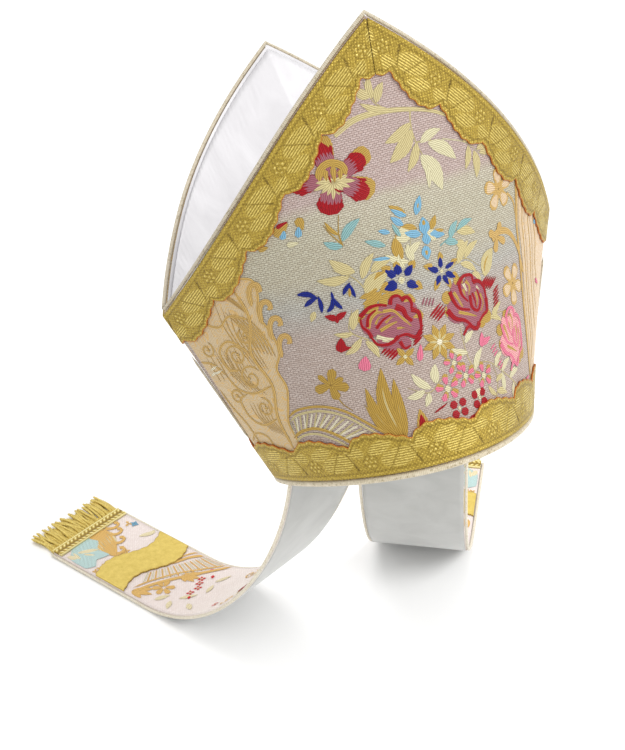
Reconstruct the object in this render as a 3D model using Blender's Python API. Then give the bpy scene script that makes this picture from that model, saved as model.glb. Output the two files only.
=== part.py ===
"""A bishop's mitre as it is worn: two stiff brocade horns with a white lining, gold galloon and cream piping,
and two lappets that hang from the back rim and curl onto the surface below.

Metres, +Z up. The wearer faces -Y. The origin is the centre of the rim, where the head sits.
The hat itself is modelled upright and its parent empty tips it back, as a head wears it.
"""

import math

import bmesh
import bpy
import numpy as np
from mathutils import Matrix, Vector

# Rim and side seams
RIM_HALF_WIDTH = 0.0893
RIM_DEPTH = 0.0966
RIM_ROUNDNESS = 0.54  # 1 is an ellipse, 0 a parabola with a sharp seam
SHOULDER_HEIGHT = 0.1214
SHOULDER_HALF_WIDTH = 0.1345
SHOULDER_DEPTH = 0.0947

# Horns above the shoulders
PEAK_HEIGHT = 0.2692
FRONT_PEAK_REACH = 0.1188
BACK_PEAK_REACH = 0.1041
PEAK_BOW = -0.5  # curvature at the peak, 1/m; slightly hollow
ARCH_SWELL = 0.083  # how far the horn's edge swells past a straight line, as a share of the half width
ARCH_SKEW = -0.013

# Tilt of the worn hat
TILT_BACK_DEG = 24.5
TILT_SIDE_DEG = -5.7

# Layers, from the outside in
GAP = 0.0003
GALLOON_THICKNESS = 0.0012
PANEL_THICKNESS = 0.0024
LINING_THICKNESS = 0.001
SEAM_GAP = 0.0004

# Galloon with one scalloped edge
GALLOON_NARROW = 0.0205
GALLOON_WIDE = 0.0275
SCALLOP_PITCH = 0.040
SCALLOP_SKEW = 0.62  # below 1 the scallop rises fast and falls slowly
GALLOON_INSET = 0.0008

# Piping cords
EDGE_PIPING_RADIUS = 0.0013
RIM_PIPING_RADIUS = 0.0021
SEAM_CORD_RADIUS = 0.0008
SEAM_CORD_BELOW_SHOULDER = 0.033
SEAM_CORD_ABOVE_GALLOON = 0.0025
LAPPET_PIPING_RADIUS = 0.0012

# Soft gusset between the horns
GUSSET_SAG = 0.085
GUSSET_THICKNESS = 0.001
GUSSET_DROP = 0.006  # its seam lies this far below the horn's edge
GUSSET_START = 0.09  # share of the horn's height where the seam begins, above the shoulder

# Lappets
LAPPET_WIDTH = 0.0755
LAPPET_LENGTH = 0.383
LAPPET_THICKNESS = 0.003
LAPPET_RIM_SHARE = 0.75  # where its outer edge meets the rim, as a share of the rim's half width
LAPPET_MIDDLE_GAP = 0.008  # between the two lappets at the middle of the back
LAPPET_HEADING_DEG = 30.0  # from straight back, towards its own side
SURFACE_DROP = 0.2415  # height of the origin above the surface that the lappets lie on
CURL_REACH = 0.155
CURL_DROP = 0.080
CURL_RUN = 0.085
TOP_FADE_LENGTH = 0.090  # over which the top edge's curve flattens out

# Ends of the lappets
BRAID_WIDTH = 0.010
BRAID_THICKNESS = 0.0022
FRINGE_LENGTH = 0.031
FRINGE_THICKNESS = 0.004
FRINGE_HEAD = 0.003
FRINGE_LOCKS = 13
LAPPET_GALLOON_WIDTH = 0.032
LAPPET_GALLOON_FROM_END = 0.050
LAPPET_GALLOON_WAVE = 0.006

FRONT, BACK = -1, 1
LEFT, RIGHT = -1, 1
SIDE_NAMES = {LEFT: "left", RIGHT: "right"}
FACE_NAMES = {FRONT: "front", BACK: "back"}

# Grid of the panels and their lining
PANEL_COLUMNS = 16
SEAM_ROWS = 6
HORN_ROWS = 8

MATERIALS = {
    "brocade": ((0.66, 0.58, 0.46), 0.55, 0.0),
    "gold_galloon": ((0.60, 0.42, 0.07), 0.38, 0.75),
    "white_lining": ((0.86, 0.86, 0.87), 0.45, 0.0),
    "cream_piping": ((0.78, 0.72, 0.58), 0.6, 0.0),
    "gold_fringe": ((0.62, 0.46, 0.10), 0.45, 0.5),
}


def clear_scene():
    for old in list(bpy.data.objects):
        bpy.data.objects.remove(old)


def make_materials():
    made = {}
    for name, (colour, roughness, metallic) in MATERIALS.items():
        material = bpy.data.materials.new(name)
        material.use_nodes = True
        shader = material.node_tree.nodes["Principled BSDF"]
        shader.inputs["Base Color"].default_value = (*colour, 1.0)
        shader.inputs["Roughness"].default_value = roughness
        shader.inputs["Metallic"].default_value = metallic
        made[name] = material
    return made


def mix(a, b, share):
    return a + (b - a) * share


# Form of the hat

def arch_half_width(share):
    """Half width of a horn at a share of the way from the shoulder to the peak."""
    swell = ARCH_SWELL * 4 + ARCH_SKEW * 8 * (1 - 2 * share)
    return SHOULDER_HALF_WIDTH * (1 - share) * (1 + swell * share)


def half_width(height):
    if height <= SHOULDER_HEIGHT:
        return mix(RIM_HALF_WIDTH, SHOULDER_HALF_WIDTH, height / SHOULDER_HEIGHT)
    return arch_half_width((height - SHOULDER_HEIGHT) / (PEAK_HEIGHT - SHOULDER_HEIGHT))


def reach(height, face):
    """Distance of a panel's centre line from the hat's axis: a quadratic through rim, shoulder and peak."""
    peak_reach = FRONT_PEAK_REACH if face == FRONT else BACK_PEAK_REACH
    rim = RIM_DEPTH * (height - SHOULDER_HEIGHT) * (height - PEAK_HEIGHT) / (SHOULDER_HEIGHT * PEAK_HEIGHT)
    to_peak = PEAK_HEIGHT - SHOULDER_HEIGHT
    shoulder = SHOULDER_DEPTH * height * (PEAK_HEIGHT - height) / (SHOULDER_HEIGHT * to_peak)
    peak = peak_reach * height * (height - SHOULDER_HEIGHT) / (PEAK_HEIGHT * to_peak)
    return rim + shoulder + peak


def bow(x, height, face):
    """How far the panel at x has curved back from its centre line."""
    if height <= SHOULDER_HEIGHT:
        share = min(1.0, abs(x) / half_width(height))
        roundness = RIM_ROUNDNESS * (1 - height / SHOULDER_HEIGHT)
        curve = (1 - roundness) * share**2 + roundness * (1 - math.sqrt(1 - share**2))
        return reach(height, face) * curve
    share = (height - SHOULDER_HEIGHT) / (PEAK_HEIGHT - SHOULDER_HEIGHT)
    return mix(SHOULDER_DEPTH / SHOULDER_HALF_WIDTH**2, PEAK_BOW, share) * x**2


def skin(x, height, face):
    """A point of the panel's outer face."""
    return Vector((x, face * (reach(height, face) - bow(x, height, face)), height))


def skin_normal(x, height, face):
    step = 0.001
    limit = half_width(height) if height <= SHOULDER_HEIGHT else math.inf
    across = skin(min(x + step, limit), height, face) - skin(max(x - step, -limit), height, face)
    low, high = max(height - step, 0.0), height + step
    narrow = min(1.0, half_width(low) / max(abs(x), step)) if height <= SHOULDER_HEIGHT else 1.0
    along = skin(x * narrow, high, face) - skin(x * narrow, low, face)
    normal = across.cross(along).normalized()
    return normal if normal.y * face > 0 or abs(normal.y) < 1e-6 else -normal


def layer_point(x, height, face, lift):
    """A point lifted off the skin, kept on its own side of the seam plane."""
    point = skin(x, height, face) + skin_normal(x, height, face) * lift
    if face * point.y < SEAM_GAP / 2:
        point.y = face * SEAM_GAP / 2
    return point


# Flat pattern: u is the length along the cloth from the centre line, v the height

ARC_SAMPLES = 48
WIDEST = 0.16


def arc_table(height, face):
    """x and the length along the cloth at matching samples from the centre line outwards."""
    limit = half_width(height) if height <= SHOULDER_HEIGHT else WIDEST
    xs = limit * np.sin(np.linspace(0, math.pi / 2, ARC_SAMPLES))
    ys = np.array([bow(x, height, face) for x in xs])
    return xs, np.concatenate([[0.0], np.cumsum(np.hypot(np.diff(xs), np.diff(ys)))])


def cloth_half_width(height, face):
    xs, lengths = arc_table(height, face)
    return float(np.interp(half_width(height), xs, lengths))


def cloth_point(u, v, face, lift):
    """A point of the hat from its flat pattern."""
    xs, lengths = arc_table(v, face)
    x = math.copysign(float(np.interp(abs(u), lengths, xs)), u)
    return layer_point(x, v, face, lift)


def horn_edge(face, count):
    """The right edge of a horn in the flat pattern, from the shoulder to the peak."""
    shares = np.linspace(0, 1, count)
    heights = SHOULDER_HEIGHT + (PEAK_HEIGHT - SHOULDER_HEIGHT) * shares
    return np.array([(cloth_half_width(h, face), h) for h in heights])


# Meshes

def new_object(name, mesh, material, parent):
    made = bpy.data.objects.new(name, mesh)
    bpy.context.scene.collection.objects.link(made)
    made.data.materials.append(material)
    made.parent = parent
    return made


def wall(name, outer, inner, material, parent):
    """A closed wall between two grids of points that match row by row."""
    work = bmesh.new()
    rows, columns = len(outer), len(outer[0])
    grids = [[[work.verts.new(p) for p in row] for row in grid] for grid in (outer, inner)]
    top, under = grids

    def face_of(*corners):
        if len(set(corners)) == len(corners):
            work.faces.new(corners)

    for i in range(rows - 1):
        for j in range(columns - 1):
            face_of(top[i][j], top[i][j + 1], top[i + 1][j + 1], top[i + 1][j])
            face_of(under[i][j], under[i + 1][j], under[i + 1][j + 1], under[i][j + 1])
        for j in (0, columns - 1):
            face_of(top[i][j], top[i + 1][j], under[i + 1][j], under[i][j])
    for j in range(columns - 1):
        for i in (0, rows - 1):
            face_of(top[i][j], top[i][j + 1], under[i][j + 1], under[i][j])
    bmesh.ops.remove_doubles(work, verts=work.verts, dist=1e-6)
    bmesh.ops.recalc_face_normals(work, faces=work.faces)
    mesh = bpy.data.meshes.new(name)
    work.to_mesh(mesh)
    work.free()
    mesh.shade_smooth()
    mesh.set_sharp_from_angle(angle=math.radians(40))
    return new_object(name, mesh, material, parent)


def sheet(name, grid, thickness, offset, material, parent):
    """An open sheet that a Solidify modifier gives its thickness."""
    rows, columns = len(grid), len(grid[0])
    points = [p for row in grid for p in row]
    faces = [
        (i * columns + j, i * columns + j + 1, (i + 1) * columns + j + 1, (i + 1) * columns + j)
        for i in range(rows - 1)
        for j in range(columns - 1)
    ]
    mesh = bpy.data.meshes.new(name)
    mesh.from_pydata(points, [], faces)
    mesh.shade_smooth()
    made = new_object(name, mesh, material, parent)
    solidify = made.modifiers.new("Thickness", "SOLIDIFY")
    solidify.thickness = thickness
    solidify.offset = offset
    return made


def cord(name, points, radius, material, parent, closed=False):
    """A round cord along a list of points."""
    curve = bpy.data.curves.new(name, "CURVE")
    curve.dimensions = "3D"
    curve.bevel_depth = radius
    curve.bevel_resolution = 1
    curve.use_fill_caps = not closed
    spline = curve.splines.new("POLY")
    spline.points.add(len(points) - 1)
    for target, point in zip(spline.points, points):
        target.co = (*point, 1.0)
    spline.use_cyclic_u = closed
    return new_object(name, curve, material, parent)


# Panels and lining

def panel_heights():
    low = [SHOULDER_HEIGHT * i / SEAM_ROWS for i in range(SEAM_ROWS)]
    high = [mix(SHOULDER_HEIGHT, PEAK_HEIGHT, i / HORN_ROWS) for i in range(HORN_ROWS + 1)]
    return low + high


def panel_grid(face, lift):
    angles = [math.pi / 2 * mix(-1, 1, j / PANEL_COLUMNS) for j in range(PANEL_COLUMNS + 1)]
    return [
        [layer_point(half_width(h) * math.sin(a), h, face, lift) for a in angles]
        for h in panel_heights()
    ]


def make_panel(face, materials, hat):
    name = FACE_NAMES[face]
    inner = panel_grid(face, -PANEL_THICKNESS)
    wall(f"{name}_panel", panel_grid(face, 0.0), inner, materials["brocade"], hat)
    top = -PANEL_THICKNESS - GAP
    wall(
        f"{name}_lining",
        panel_grid(face, top),
        panel_grid(face, top - LINING_THICKNESS),
        materials["white_lining"],
        hat,
    )


# Galloon

def scallop_width(length):
    share = (length / SCALLOP_PITCH) % 1.0
    return mix(GALLOON_NARROW, GALLOON_WIDE, math.sin(math.pi * share**SCALLOP_SKEW))


def clipped(outer, inner, face):
    """The stretch of a line across the galloon that lies between the centre line and the side seam."""
    inside = []
    for share in np.linspace(0, 1, 61):
        u, v = outer + (inner - outer) * share
        if SEAM_GAP / 2 <= u and 0 < v and (v > SHOULDER_HEIGHT or u <= cloth_half_width(v, face)):
            inside.append((u, v))
    return (inside[0], inside[-1]) if len(inside) > 1 else None


EDGE_STATIONS = 38
GALLOON_COLUMNS = 3


def edge_galloon(face, side, materials, hat):
    """The strip along one edge of a horn, mitred at the peak and cut off by the side seam."""
    edge = horn_edge(face, 25)
    tangent = (edge[1] - edge[0]) / np.linalg.norm(edge[1] - edge[0])
    edge = np.vstack([edge[0] - tangent * GALLOON_WIDE * 1.5, edge])
    lengths = np.concatenate([[0.0], np.cumsum(np.linalg.norm(np.diff(edge, axis=0), axis=1))])
    rows = []
    for length in np.linspace(0, lengths[-1], EDGE_STATIONS):
        at = np.array([np.interp(length, lengths, edge[:, k]) for k in (0, 1)])
        ahead = np.array([np.interp(length + 0.004, lengths, edge[:, k]) for k in (0, 1)])
        behind = np.array([np.interp(length - 0.004, lengths, edge[:, k]) for k in (0, 1)])
        along = (ahead - behind) / np.linalg.norm(ahead - behind)
        inward = np.array([-along[1], along[0]])
        ends = clipped(at + inward * GALLOON_INSET, at + inward * scallop_width(length), face)
        if ends:
            rows.append(ends)

    def between(a, b, share, lift):
        return cloth_point(side * mix(a[0], b[0], share), mix(a[1], b[1], share), face, lift)

    def grid(lift):
        steps = [j / GALLOON_COLUMNS for j in range(GALLOON_COLUMNS + 1)]
        return [[between(a, b, share, lift) for share in steps] for a, b in rows]

    name = f"{FACE_NAMES[face]}_{SIDE_NAMES[side]}_galloon"
    wall(name, grid(GAP + GALLOON_THICKNESS), grid(GAP), materials["gold_galloon"], hat)


RIM_STATIONS = 48


def rim_galloon(face, materials, hat):
    """The band round one half of the rim, its scallops upwards."""
    around = 2 * cloth_half_width(0.0, face)
    rows = []
    for i in range(RIM_STATIONS + 1):
        share = mix(-1, 1, i / RIM_STATIONS)
        width = scallop_width(around * i / RIM_STATIONS)
        rows.append([(share, GALLOON_INSET), (share, width)])

    def grid(lift):
        return [
            [cloth_point(share * cloth_half_width(v, face), v, face, lift) for share, v in row]
            for row in rows
        ]

    name = f"{FACE_NAMES[face]}_rim_galloon"
    wall(name, grid(GAP + GALLOON_THICKNESS), grid(GAP), materials["gold_galloon"], hat)


# Piping

def edge_piping(face, materials, hat):
    """The cord round a horn's edge, from shoulder to shoulder."""
    outward = EDGE_PIPING_RADIUS + GAP
    middle = -PANEL_THICKNESS / 2
    steps = 21
    edge = []
    for i in range(steps):
        share = mix(0.015, 1.0, i / (steps - 1))
        height = mix(SHOULDER_HEIGHT, PEAK_HEIGHT, share)
        ahead = arch_half_width(min(share + 0.02, 1.0))
        behind = arch_half_width(max(share - 0.02, 0.0))
        rise = 0.04 * (PEAK_HEIGHT - SHOULDER_HEIGHT)
        run = behind - ahead if share < 0.98 else (behind - ahead) * 2
        along = math.hypot(rise, run)
        edge.append((arch_half_width(share) + outward * rise / along, height + outward * run / along))
    peak = (0.0, PEAK_HEIGHT + outward * 1.5)
    half = [*edge[:-1], peak]
    route = half + [(-x, h) for x, h in reversed(half[:-1])]
    points = [layer_point(x, h, face, middle) for x, h in route]
    for point in points:
        if face * point.y < outward:
            point.y = face * outward
    cord(f"{FACE_NAMES[face]}_edge_piping", points, EDGE_PIPING_RADIUS, materials["cream_piping"], hat)


def rim_route(lift, drop):
    """Points round the whole rim, the front from left to right and then the back from right to left."""
    points = []
    for face in (FRONT, BACK):
        for i in range(28):
            x = RIM_HALF_WIDTH * math.sin(math.pi / 2 * mix(-0.985, 0.985, i / 27))
            point = layer_point(-face * x, 0.0, face, lift)
            point.z = -drop
            points.append(point)
    return points


def seam_cord(side, materials, hat):
    """The thin cord down a side seam, between the rim's galloon and the horn's."""
    outward = SEAM_CORD_RADIUS + GAP
    points = []
    foot = GALLOON_WIDE + SEAM_CORD_ABOVE_GALLOON
    head = SHOULDER_HEIGHT - SEAM_CORD_BELOW_SHOULDER
    for i in range(10):
        height = mix(foot, head, i / 9)
        points.append(Vector((side * (half_width(height) + outward), 0.0, height)))
    cord(f"{SIDE_NAMES[side]}_seam_cord", points, SEAM_CORD_RADIUS, materials["cream_piping"], hat)


# Gusset

GUSSET_COLUMNS = 16
GUSSET_ROWS = 9


def make_gusset(materials, hat):
    """The soft cloth that joins the two horns and sags between them."""
    lift = -PANEL_THICKNESS - LINING_THICKNESS - 2 * GAP - GUSSET_THICKNESS
    grid = []
    for i in range(GUSSET_COLUMNS + 1):
        across = mix(-1, 1, i / GUSSET_COLUMNS)
        share = mix(1.0, GUSSET_START, abs(across))
        height = mix(SHOULDER_HEIGHT, PEAK_HEIGHT, share) - GUSSET_DROP
        x = math.copysign(arch_half_width(share), across)
        front = layer_point(x, height, FRONT, lift)
        back = layer_point(x, height, BACK, lift)
        sag = GUSSET_SAG * (1 - across**2) ** 1.2
        row = []
        for j in range(GUSSET_ROWS + 1):
            w = j / GUSSET_ROWS
            point = front.lerp(back, w)
            point.z -= sag * 4 * w * (1 - w)
            row.append(point)
        grid.append(row)
    sheet("crown_gusset", grid, GUSSET_THICKNESS, 0.0, materials["white_lining"], hat)


# Lappets

def hat_tilt():
    back = Matrix.Rotation(math.radians(-TILT_BACK_DEG), 3, "X")
    return Matrix.Rotation(math.radians(TILT_SIDE_DEG), 3, "Y") @ back


class Lappet:
    """One lappet's path: down from the rim, round a soft curl and along the surface."""

    def __init__(self, side):
        self.side = side
        turn = math.radians(LAPPET_HEADING_DEG)
        self.heading = Vector((side * math.sin(turn), math.cos(turn), 0.0))
        self.inward = Vector((-side * math.cos(turn), math.sin(turn), 0.0))
        self.outer_top = self.rim_point(0.0)
        self.profile = self.make_profile()

    def rim_point(self, across):
        """Where the lappet's top edge meets the rim, from its outer edge (0) to its inner one (1)."""
        x = self.side * mix(LAPPET_RIM_SHARE * RIM_HALF_WIDTH, LAPPET_MIDDLE_GAP / 2, across)
        point = skin(x, 0.0, BACK) - skin_normal(x, 0.0, BACK) * PANEL_THICKNESS / 2
        point.z = -2 * RIM_PIPING_RADIUS - 3 * GAP
        return hat_tilt() @ point

    def make_profile(self):
        """(distance back, height) along the outer edge at even lengths, from a curve that lands flat."""
        top = self.outer_top.z
        rest = LAPPET_THICKNESS - SURFACE_DROP
        p0, p1 = np.array((0.0, top)), np.array((0.0, top - CURL_DROP))
        p2, p3 = np.array((CURL_REACH - CURL_RUN, rest)), np.array((CURL_REACH, rest))
        points = []
        for t in np.linspace(0, 1, 60):
            points.append((1 - t) ** 3 * p0 + 3 * (1 - t) ** 2 * t * p1 + 3 * (1 - t) * t**2 * p2 + t**3 * p3)
        points = np.array(points)
        lengths = np.concatenate([[0.0], np.cumsum(np.linalg.norm(np.diff(points, axis=0), axis=1))])
        flat = max(LAPPET_LENGTH + FRINGE_LENGTH - lengths[-1], 0.01)
        points = np.vstack([points, p3 + np.array((flat, 0.0))])
        return np.append(lengths, lengths[-1] + flat), points

    def point(self, length, across, lift=0.0):
        """A point at a length down the lappet and a share across it, lifted off its brocade face."""
        lengths, points = self.profile
        back, height = (float(np.interp(length, lengths, points[:, k])) for k in (0, 1))
        step = 0.002
        a = np.array([np.interp(length - step, lengths, points[:, k]) for k in (0, 1)])
        b = np.array([np.interp(length + step, lengths, points[:, k]) for k in (0, 1)])
        run, fall = (b - a) / max(np.linalg.norm(b - a), 1e-9)
        flat = self.outer_top + self.inward * LAPPET_WIDTH * across
        fade = max(0.0, 1.0 - length / TOP_FADE_LENGTH)
        bend = (self.rim_point(across) - flat) * fade * fade * (3 - 2 * fade)
        place = flat + self.heading * back + bend
        place.z = height + bend.z
        return place + (self.heading * -fall + Vector((0, 0, run))) * lift

    def grid(self, lengths, shares, lift=0.0):
        return [[self.point(length, share, lift) for share in shares] for length in lengths]


LAPPET_ROWS = 24
LAPPET_COLUMNS = 4


def make_lappet(side, materials, root):
    name = SIDE_NAMES[side]
    lappet = Lappet(side)
    shares = [j / LAPPET_COLUMNS for j in range(LAPPET_COLUMNS + 1)]
    lengths = [LAPPET_LENGTH * i / LAPPET_ROWS for i in range(LAPPET_ROWS + 1)]
    top, under = lappet.grid(lengths, shares), lappet.grid(lengths, shares, -LAPPET_THICKNESS)
    wall(f"{name}_lappet", top, under, materials["brocade"], root)
    lappet_piping(lappet, name, lengths, materials, root)
    lappet_galloon(lappet, name, materials, root)
    lappet_braid(lappet, name, materials, root)
    lappet_fringe(lappet, name, materials, root)


def lappet_piping(lappet, name, lengths, materials, root):
    """A cord down each long edge, beside the strip at half its thickness."""
    beside = lappet.inward * (LAPPET_PIPING_RADIUS + 1.5 * GAP)
    for label, share, aside in (("outer", 0.0, -beside), ("inner", 1.0, beside)):
        route = [lappet.point(length, share, -LAPPET_THICKNESS / 2) + aside for length in lengths]
        cord(f"{name}_lappet_{label}_piping", route, LAPPET_PIPING_RADIUS, materials["cream_piping"], root)


def lappet_galloon(lappet, name, materials, root):
    """The band across the lappet, both its edges waved alike."""
    shares = [j / 12 for j in range(13)]
    middle = LAPPET_LENGTH - LAPPET_GALLOON_FROM_END - LAPPET_GALLOON_WIDTH / 2

    def grid(lift):
        rows = []
        for end in (-0.5, 0.5):
            rows.append([
                lappet.point(
                    middle + end * LAPPET_GALLOON_WIDTH + LAPPET_GALLOON_WAVE * math.sin(2 * math.pi * share),
                    share,
                    lift,
                )
                for share in shares
            ])
        return rows

    wall(f"{name}_lappet_galloon", grid(GAP + GALLOON_THICKNESS), grid(GAP), materials["gold_galloon"], root)


def lappet_braid(lappet, name, materials, root):
    """The narrow braid that heads the fringe, on the brocade face at the lappet's end."""
    lengths = (LAPPET_LENGTH - BRAID_WIDTH, LAPPET_LENGTH)
    shares = (0.0, 0.25, 0.5, 0.75, 1.0)
    outer = lappet.grid(lengths, shares, GAP + BRAID_THICKNESS)
    wall(f"{name}_fringe_braid", outer, lappet.grid(lengths, shares, GAP), materials["gold_galloon"], root)


def lock_form(lock):
    """How far a lock's tip strays sideways, in lock widths, and its length; a fixed, uneven rhythm."""
    return 0.12 * math.sin(lock * 2.3), (FRINGE_LENGTH - FRINGE_HEAD) * (0.88 - 0.12 * math.cos(lock * 1.7))


def lappet_fringe(lappet, name, materials, root):
    """Locks of fringe side by side on a narrow head, cut as one comb and lying on the surface."""
    start = LAPPET_LENGTH + GAP
    head = start + FRINGE_HEAD
    pitch = 1.0 / FRINGE_LOCKS
    work = bmesh.new()

    def corner(length, share):
        return work.verts.new(lappet.point(length, share, -LAPPET_THICKNESS))

    before = (corner(start, 0.0), corner(head, 0.0))
    for lock in range(FRINGE_LOCKS):
        lean, length = lock_form(lock)
        middle = (lock + 0.5) * pitch
        edges = (middle - 0.44 * pitch, middle + 0.44 * pitch)
        sides = [(corner(start, share), corner(head, share)) for share in edges]
        work.faces.new((before[0], sides[0][0], sides[0][1], before[1]))
        work.faces.new((sides[0][0], sides[1][0], sides[1][1], sides[0][1]))
        tip = middle + lean * pitch
        ends = [corner(head + length - 0.002, tip + side * 0.34 * pitch) for side in (-1, 1)]
        work.faces.new((sides[0][1], sides[1][1], ends[1], ends[0]))
        work.faces.new((ends[0], ends[1], corner(head + length, tip)))
        before = sides[1]
    work.faces.new((before[0], corner(start, 1.0), corner(head, 1.0), before[1]))
    comb = bmesh.ops.extrude_face_region(work, geom=list(work.faces))
    lifted = [v for v in comb["geom"] if isinstance(v, bmesh.types.BMVert)]
    bmesh.ops.translate(work, verts=lifted, vec=(0, 0, FRINGE_THICKNESS))
    bmesh.ops.recalc_face_normals(work, faces=work.faces)
    mesh = bpy.data.meshes.new(f"{name}_fringe")
    work.to_mesh(mesh)
    work.free()
    new_object(f"{name}_fringe", mesh, materials["gold_fringe"], root)


def build_mitre():
    clear_scene()
    materials = make_materials()
    root = bpy.data.objects.new("head_seat", None)
    hat = bpy.data.objects.new("worn_tilt", None)
    for empty in (root, hat):
        bpy.context.scene.collection.objects.link(empty)
    hat.parent = root
    hat.rotation_euler = hat_tilt().to_euler()
    for face in (FRONT, BACK):
        make_panel(face, materials, hat)
        rim_galloon(face, materials, hat)
        edge_piping(face, materials, hat)
        for side in (LEFT, RIGHT):
            edge_galloon(face, side, materials, hat)
    rim = rim_route(-PANEL_THICKNESS / 2, RIM_PIPING_RADIUS + GAP)
    cord("rim_piping", rim, RIM_PIPING_RADIUS, materials["cream_piping"], hat, closed=True)
    make_gusset(materials, hat)
    for side in (LEFT, RIGHT):
        seam_cord(side, materials, hat)
        make_lappet(side, materials, root)


build_mitre()
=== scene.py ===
"""The looks of a worn bishop's mitre: brocade with its woven flowers, gold galloon, piping, satin and fringe.

Lengths in metres, as the frame's, except the charts of the woven pattern, which are in millimetres
on the flat cloth: first across from the centre line, then up from the rim (or along a lappet).
"""

import math
import random

import bpy
import numpy as np
from mathutils import Matrix, Vector


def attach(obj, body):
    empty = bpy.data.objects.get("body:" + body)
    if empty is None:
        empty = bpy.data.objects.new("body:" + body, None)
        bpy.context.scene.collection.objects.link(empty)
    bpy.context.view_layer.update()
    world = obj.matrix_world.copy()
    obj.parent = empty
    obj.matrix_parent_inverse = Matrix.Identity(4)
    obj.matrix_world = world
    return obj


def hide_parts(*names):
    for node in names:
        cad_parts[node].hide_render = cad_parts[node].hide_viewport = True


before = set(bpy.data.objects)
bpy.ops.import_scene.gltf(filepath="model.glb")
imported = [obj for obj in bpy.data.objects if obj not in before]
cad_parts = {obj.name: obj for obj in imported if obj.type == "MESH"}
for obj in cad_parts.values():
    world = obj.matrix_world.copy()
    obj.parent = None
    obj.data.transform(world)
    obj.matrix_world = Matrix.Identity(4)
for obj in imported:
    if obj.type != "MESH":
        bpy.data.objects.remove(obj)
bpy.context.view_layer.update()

MM = 0.001

# Form of the hat, as its solids have it

RIM_HALF_WIDTH = 0.0893
RIM_DEPTH = 0.0966
RIM_ROUNDNESS = 0.54
SHOULDER_HEIGHT = 0.1214
SHOULDER_HALF_WIDTH = 0.1345
SHOULDER_DEPTH = 0.0947
PEAK_HEIGHT = 0.2692
FRONT_PEAK_REACH = 0.1188
BACK_PEAK_REACH = 0.1041
PEAK_BOW = -0.5
ARCH_SWELL = 0.083
ARCH_SKEW = -0.013
TILT_BACK_DEG = 24.5
TILT_SIDE_DEG = -5.7

GAP = 0.0003
GALLOON_THICKNESS = 0.0012
PANEL_THICKNESS = 0.0024
LINING_THICKNESS = 0.001
SEAM_GAP = 0.0004

GALLOON_NARROW = 0.0205
GALLOON_WIDE = 0.0275
SCALLOP_PITCH = 0.040
SCALLOP_SKEW = 0.62
GALLOON_INSET = 0.0004
GALLOON_RIPPLE = 0.0005
GALLOON_RIPPLE_PITCH = 0.0075
GALLOON_COLUMNS = 37
RELIEF_HEIGHT = 0.0005
STITCH_WIDTH = 0.0009
FLOWER_ALONG, FLOWER_INSET = 0.0110, 0.0098
FLOWER_RADIUS = 0.0030

EDGE_PIPING_RADIUS = 0.0013
RIM_PIPING_RADIUS = 0.0021
SEAM_CORD_RADIUS = 0.0008
SEAM_CORD_ABOVE_GALLOON = 0.0015
SEAM_CORD_BELOW_SHOULDER = 0.031
LAPPET_PIPING_RADIUS = 0.0012

GUSSET_SAG = 0.085
GUSSET_DROP = 0.003
GUSSET_START = 0.055
GUSSET_THICKNESS = 0.0006
GUSSET_CLEARANCE = 0.0005
GATHER_PITCH = 0.005
GATHER_HEIGHT = 0.0004
FOLD_HEIGHT = 0.0007

LAPPET_WIDTH = 0.0755
LAPPET_LENGTH = 0.383
LAPPET_THICKNESS = 0.003
LAPPET_RIM_SHARE = 0.75
LAPPET_MIDDLE_GAP = 0.008
LAPPET_HEADING_DEG = 30.0
SURFACE_DROP = 0.2415
CURL_REACH = 0.155
CURL_DROP = 0.080
CURL_RUN = 0.085
TOP_FADE_LENGTH = 0.090

BRAID_WIDTH = 0.010
BRAID_THICKNESS = 0.0014
BRAID_RELIEF = 0.0007
FRINGE_LENGTH = 0.031
FRINGE_THREADS = 60
FRINGE_THREAD_RADIUS = 0.0012
FRINGE_TWIST = 240.0  # turns a metre
LAPPET_GALLOON_WIDTH = 0.032
LAPPET_GALLOON_FROM_END = 0.050
LAPPET_GALLOON_WAVE = 0.006

FRONT, BACK = -1, 1
LEFT, RIGHT = -1, 1
SIDE_NAMES = {LEFT: "left", RIGHT: "right"}
FACE_NAMES = {FRONT: "front", BACK: "back"}

# Camera, fitted to the picture

FRAME_LONG_SIDE_PX = 750
FOCAL_PX = 1716.0
CAMERA_AZIMUTH_DEG = -20.38
CAMERA_ELEVATION_DEG = 31.91
CAMERA_ROLL_DEG = -0.34
CAMERA_DISTANCE = 1.091
CAMERA_AIM_HEIGHT = 0.08
CAMERA_ASIDE = -0.05975
CAMERA_LIFT = -0.02677
SENSOR_MM = 36.0


def mix(a, b, share):
    return a + (b - a) * share


def smooth(share):
    share = np.clip(share, 0.0, 1.0)
    return share * share * (3 - 2 * share)


def bump_at(distance, width):
    """A rounded ridge, 1 on its line and gone a width away."""
    return np.exp(-((distance / width) ** 2))


def run_along(points):
    """How far along a row of points each of them is."""
    return np.concatenate([[0.0], np.cumsum(np.linalg.norm(np.diff(points, axis=0), axis=1))])


def towards(degrees):
    """The flat direction at an angle from across."""
    return np.array((math.cos(math.radians(degrees)), math.sin(math.radians(degrees))))


def corner_points(mesh):
    """Which point each corner of each face is at."""
    corners = np.zeros(len(mesh.loops), np.int32)
    mesh.loops.foreach_get("vertex_index", corners)
    return corners


# Materials

def linear(code):
    """An sRGB hex code as linear RGBA."""
    parts = [int(code[i : i + 2], 16) / 255 for i in (0, 2, 4)]
    return tuple(c / 12.92 if c <= 0.04045 else ((c + 0.055) / 1.055) ** 2.4 for c in parts) + (1.0,)


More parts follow.
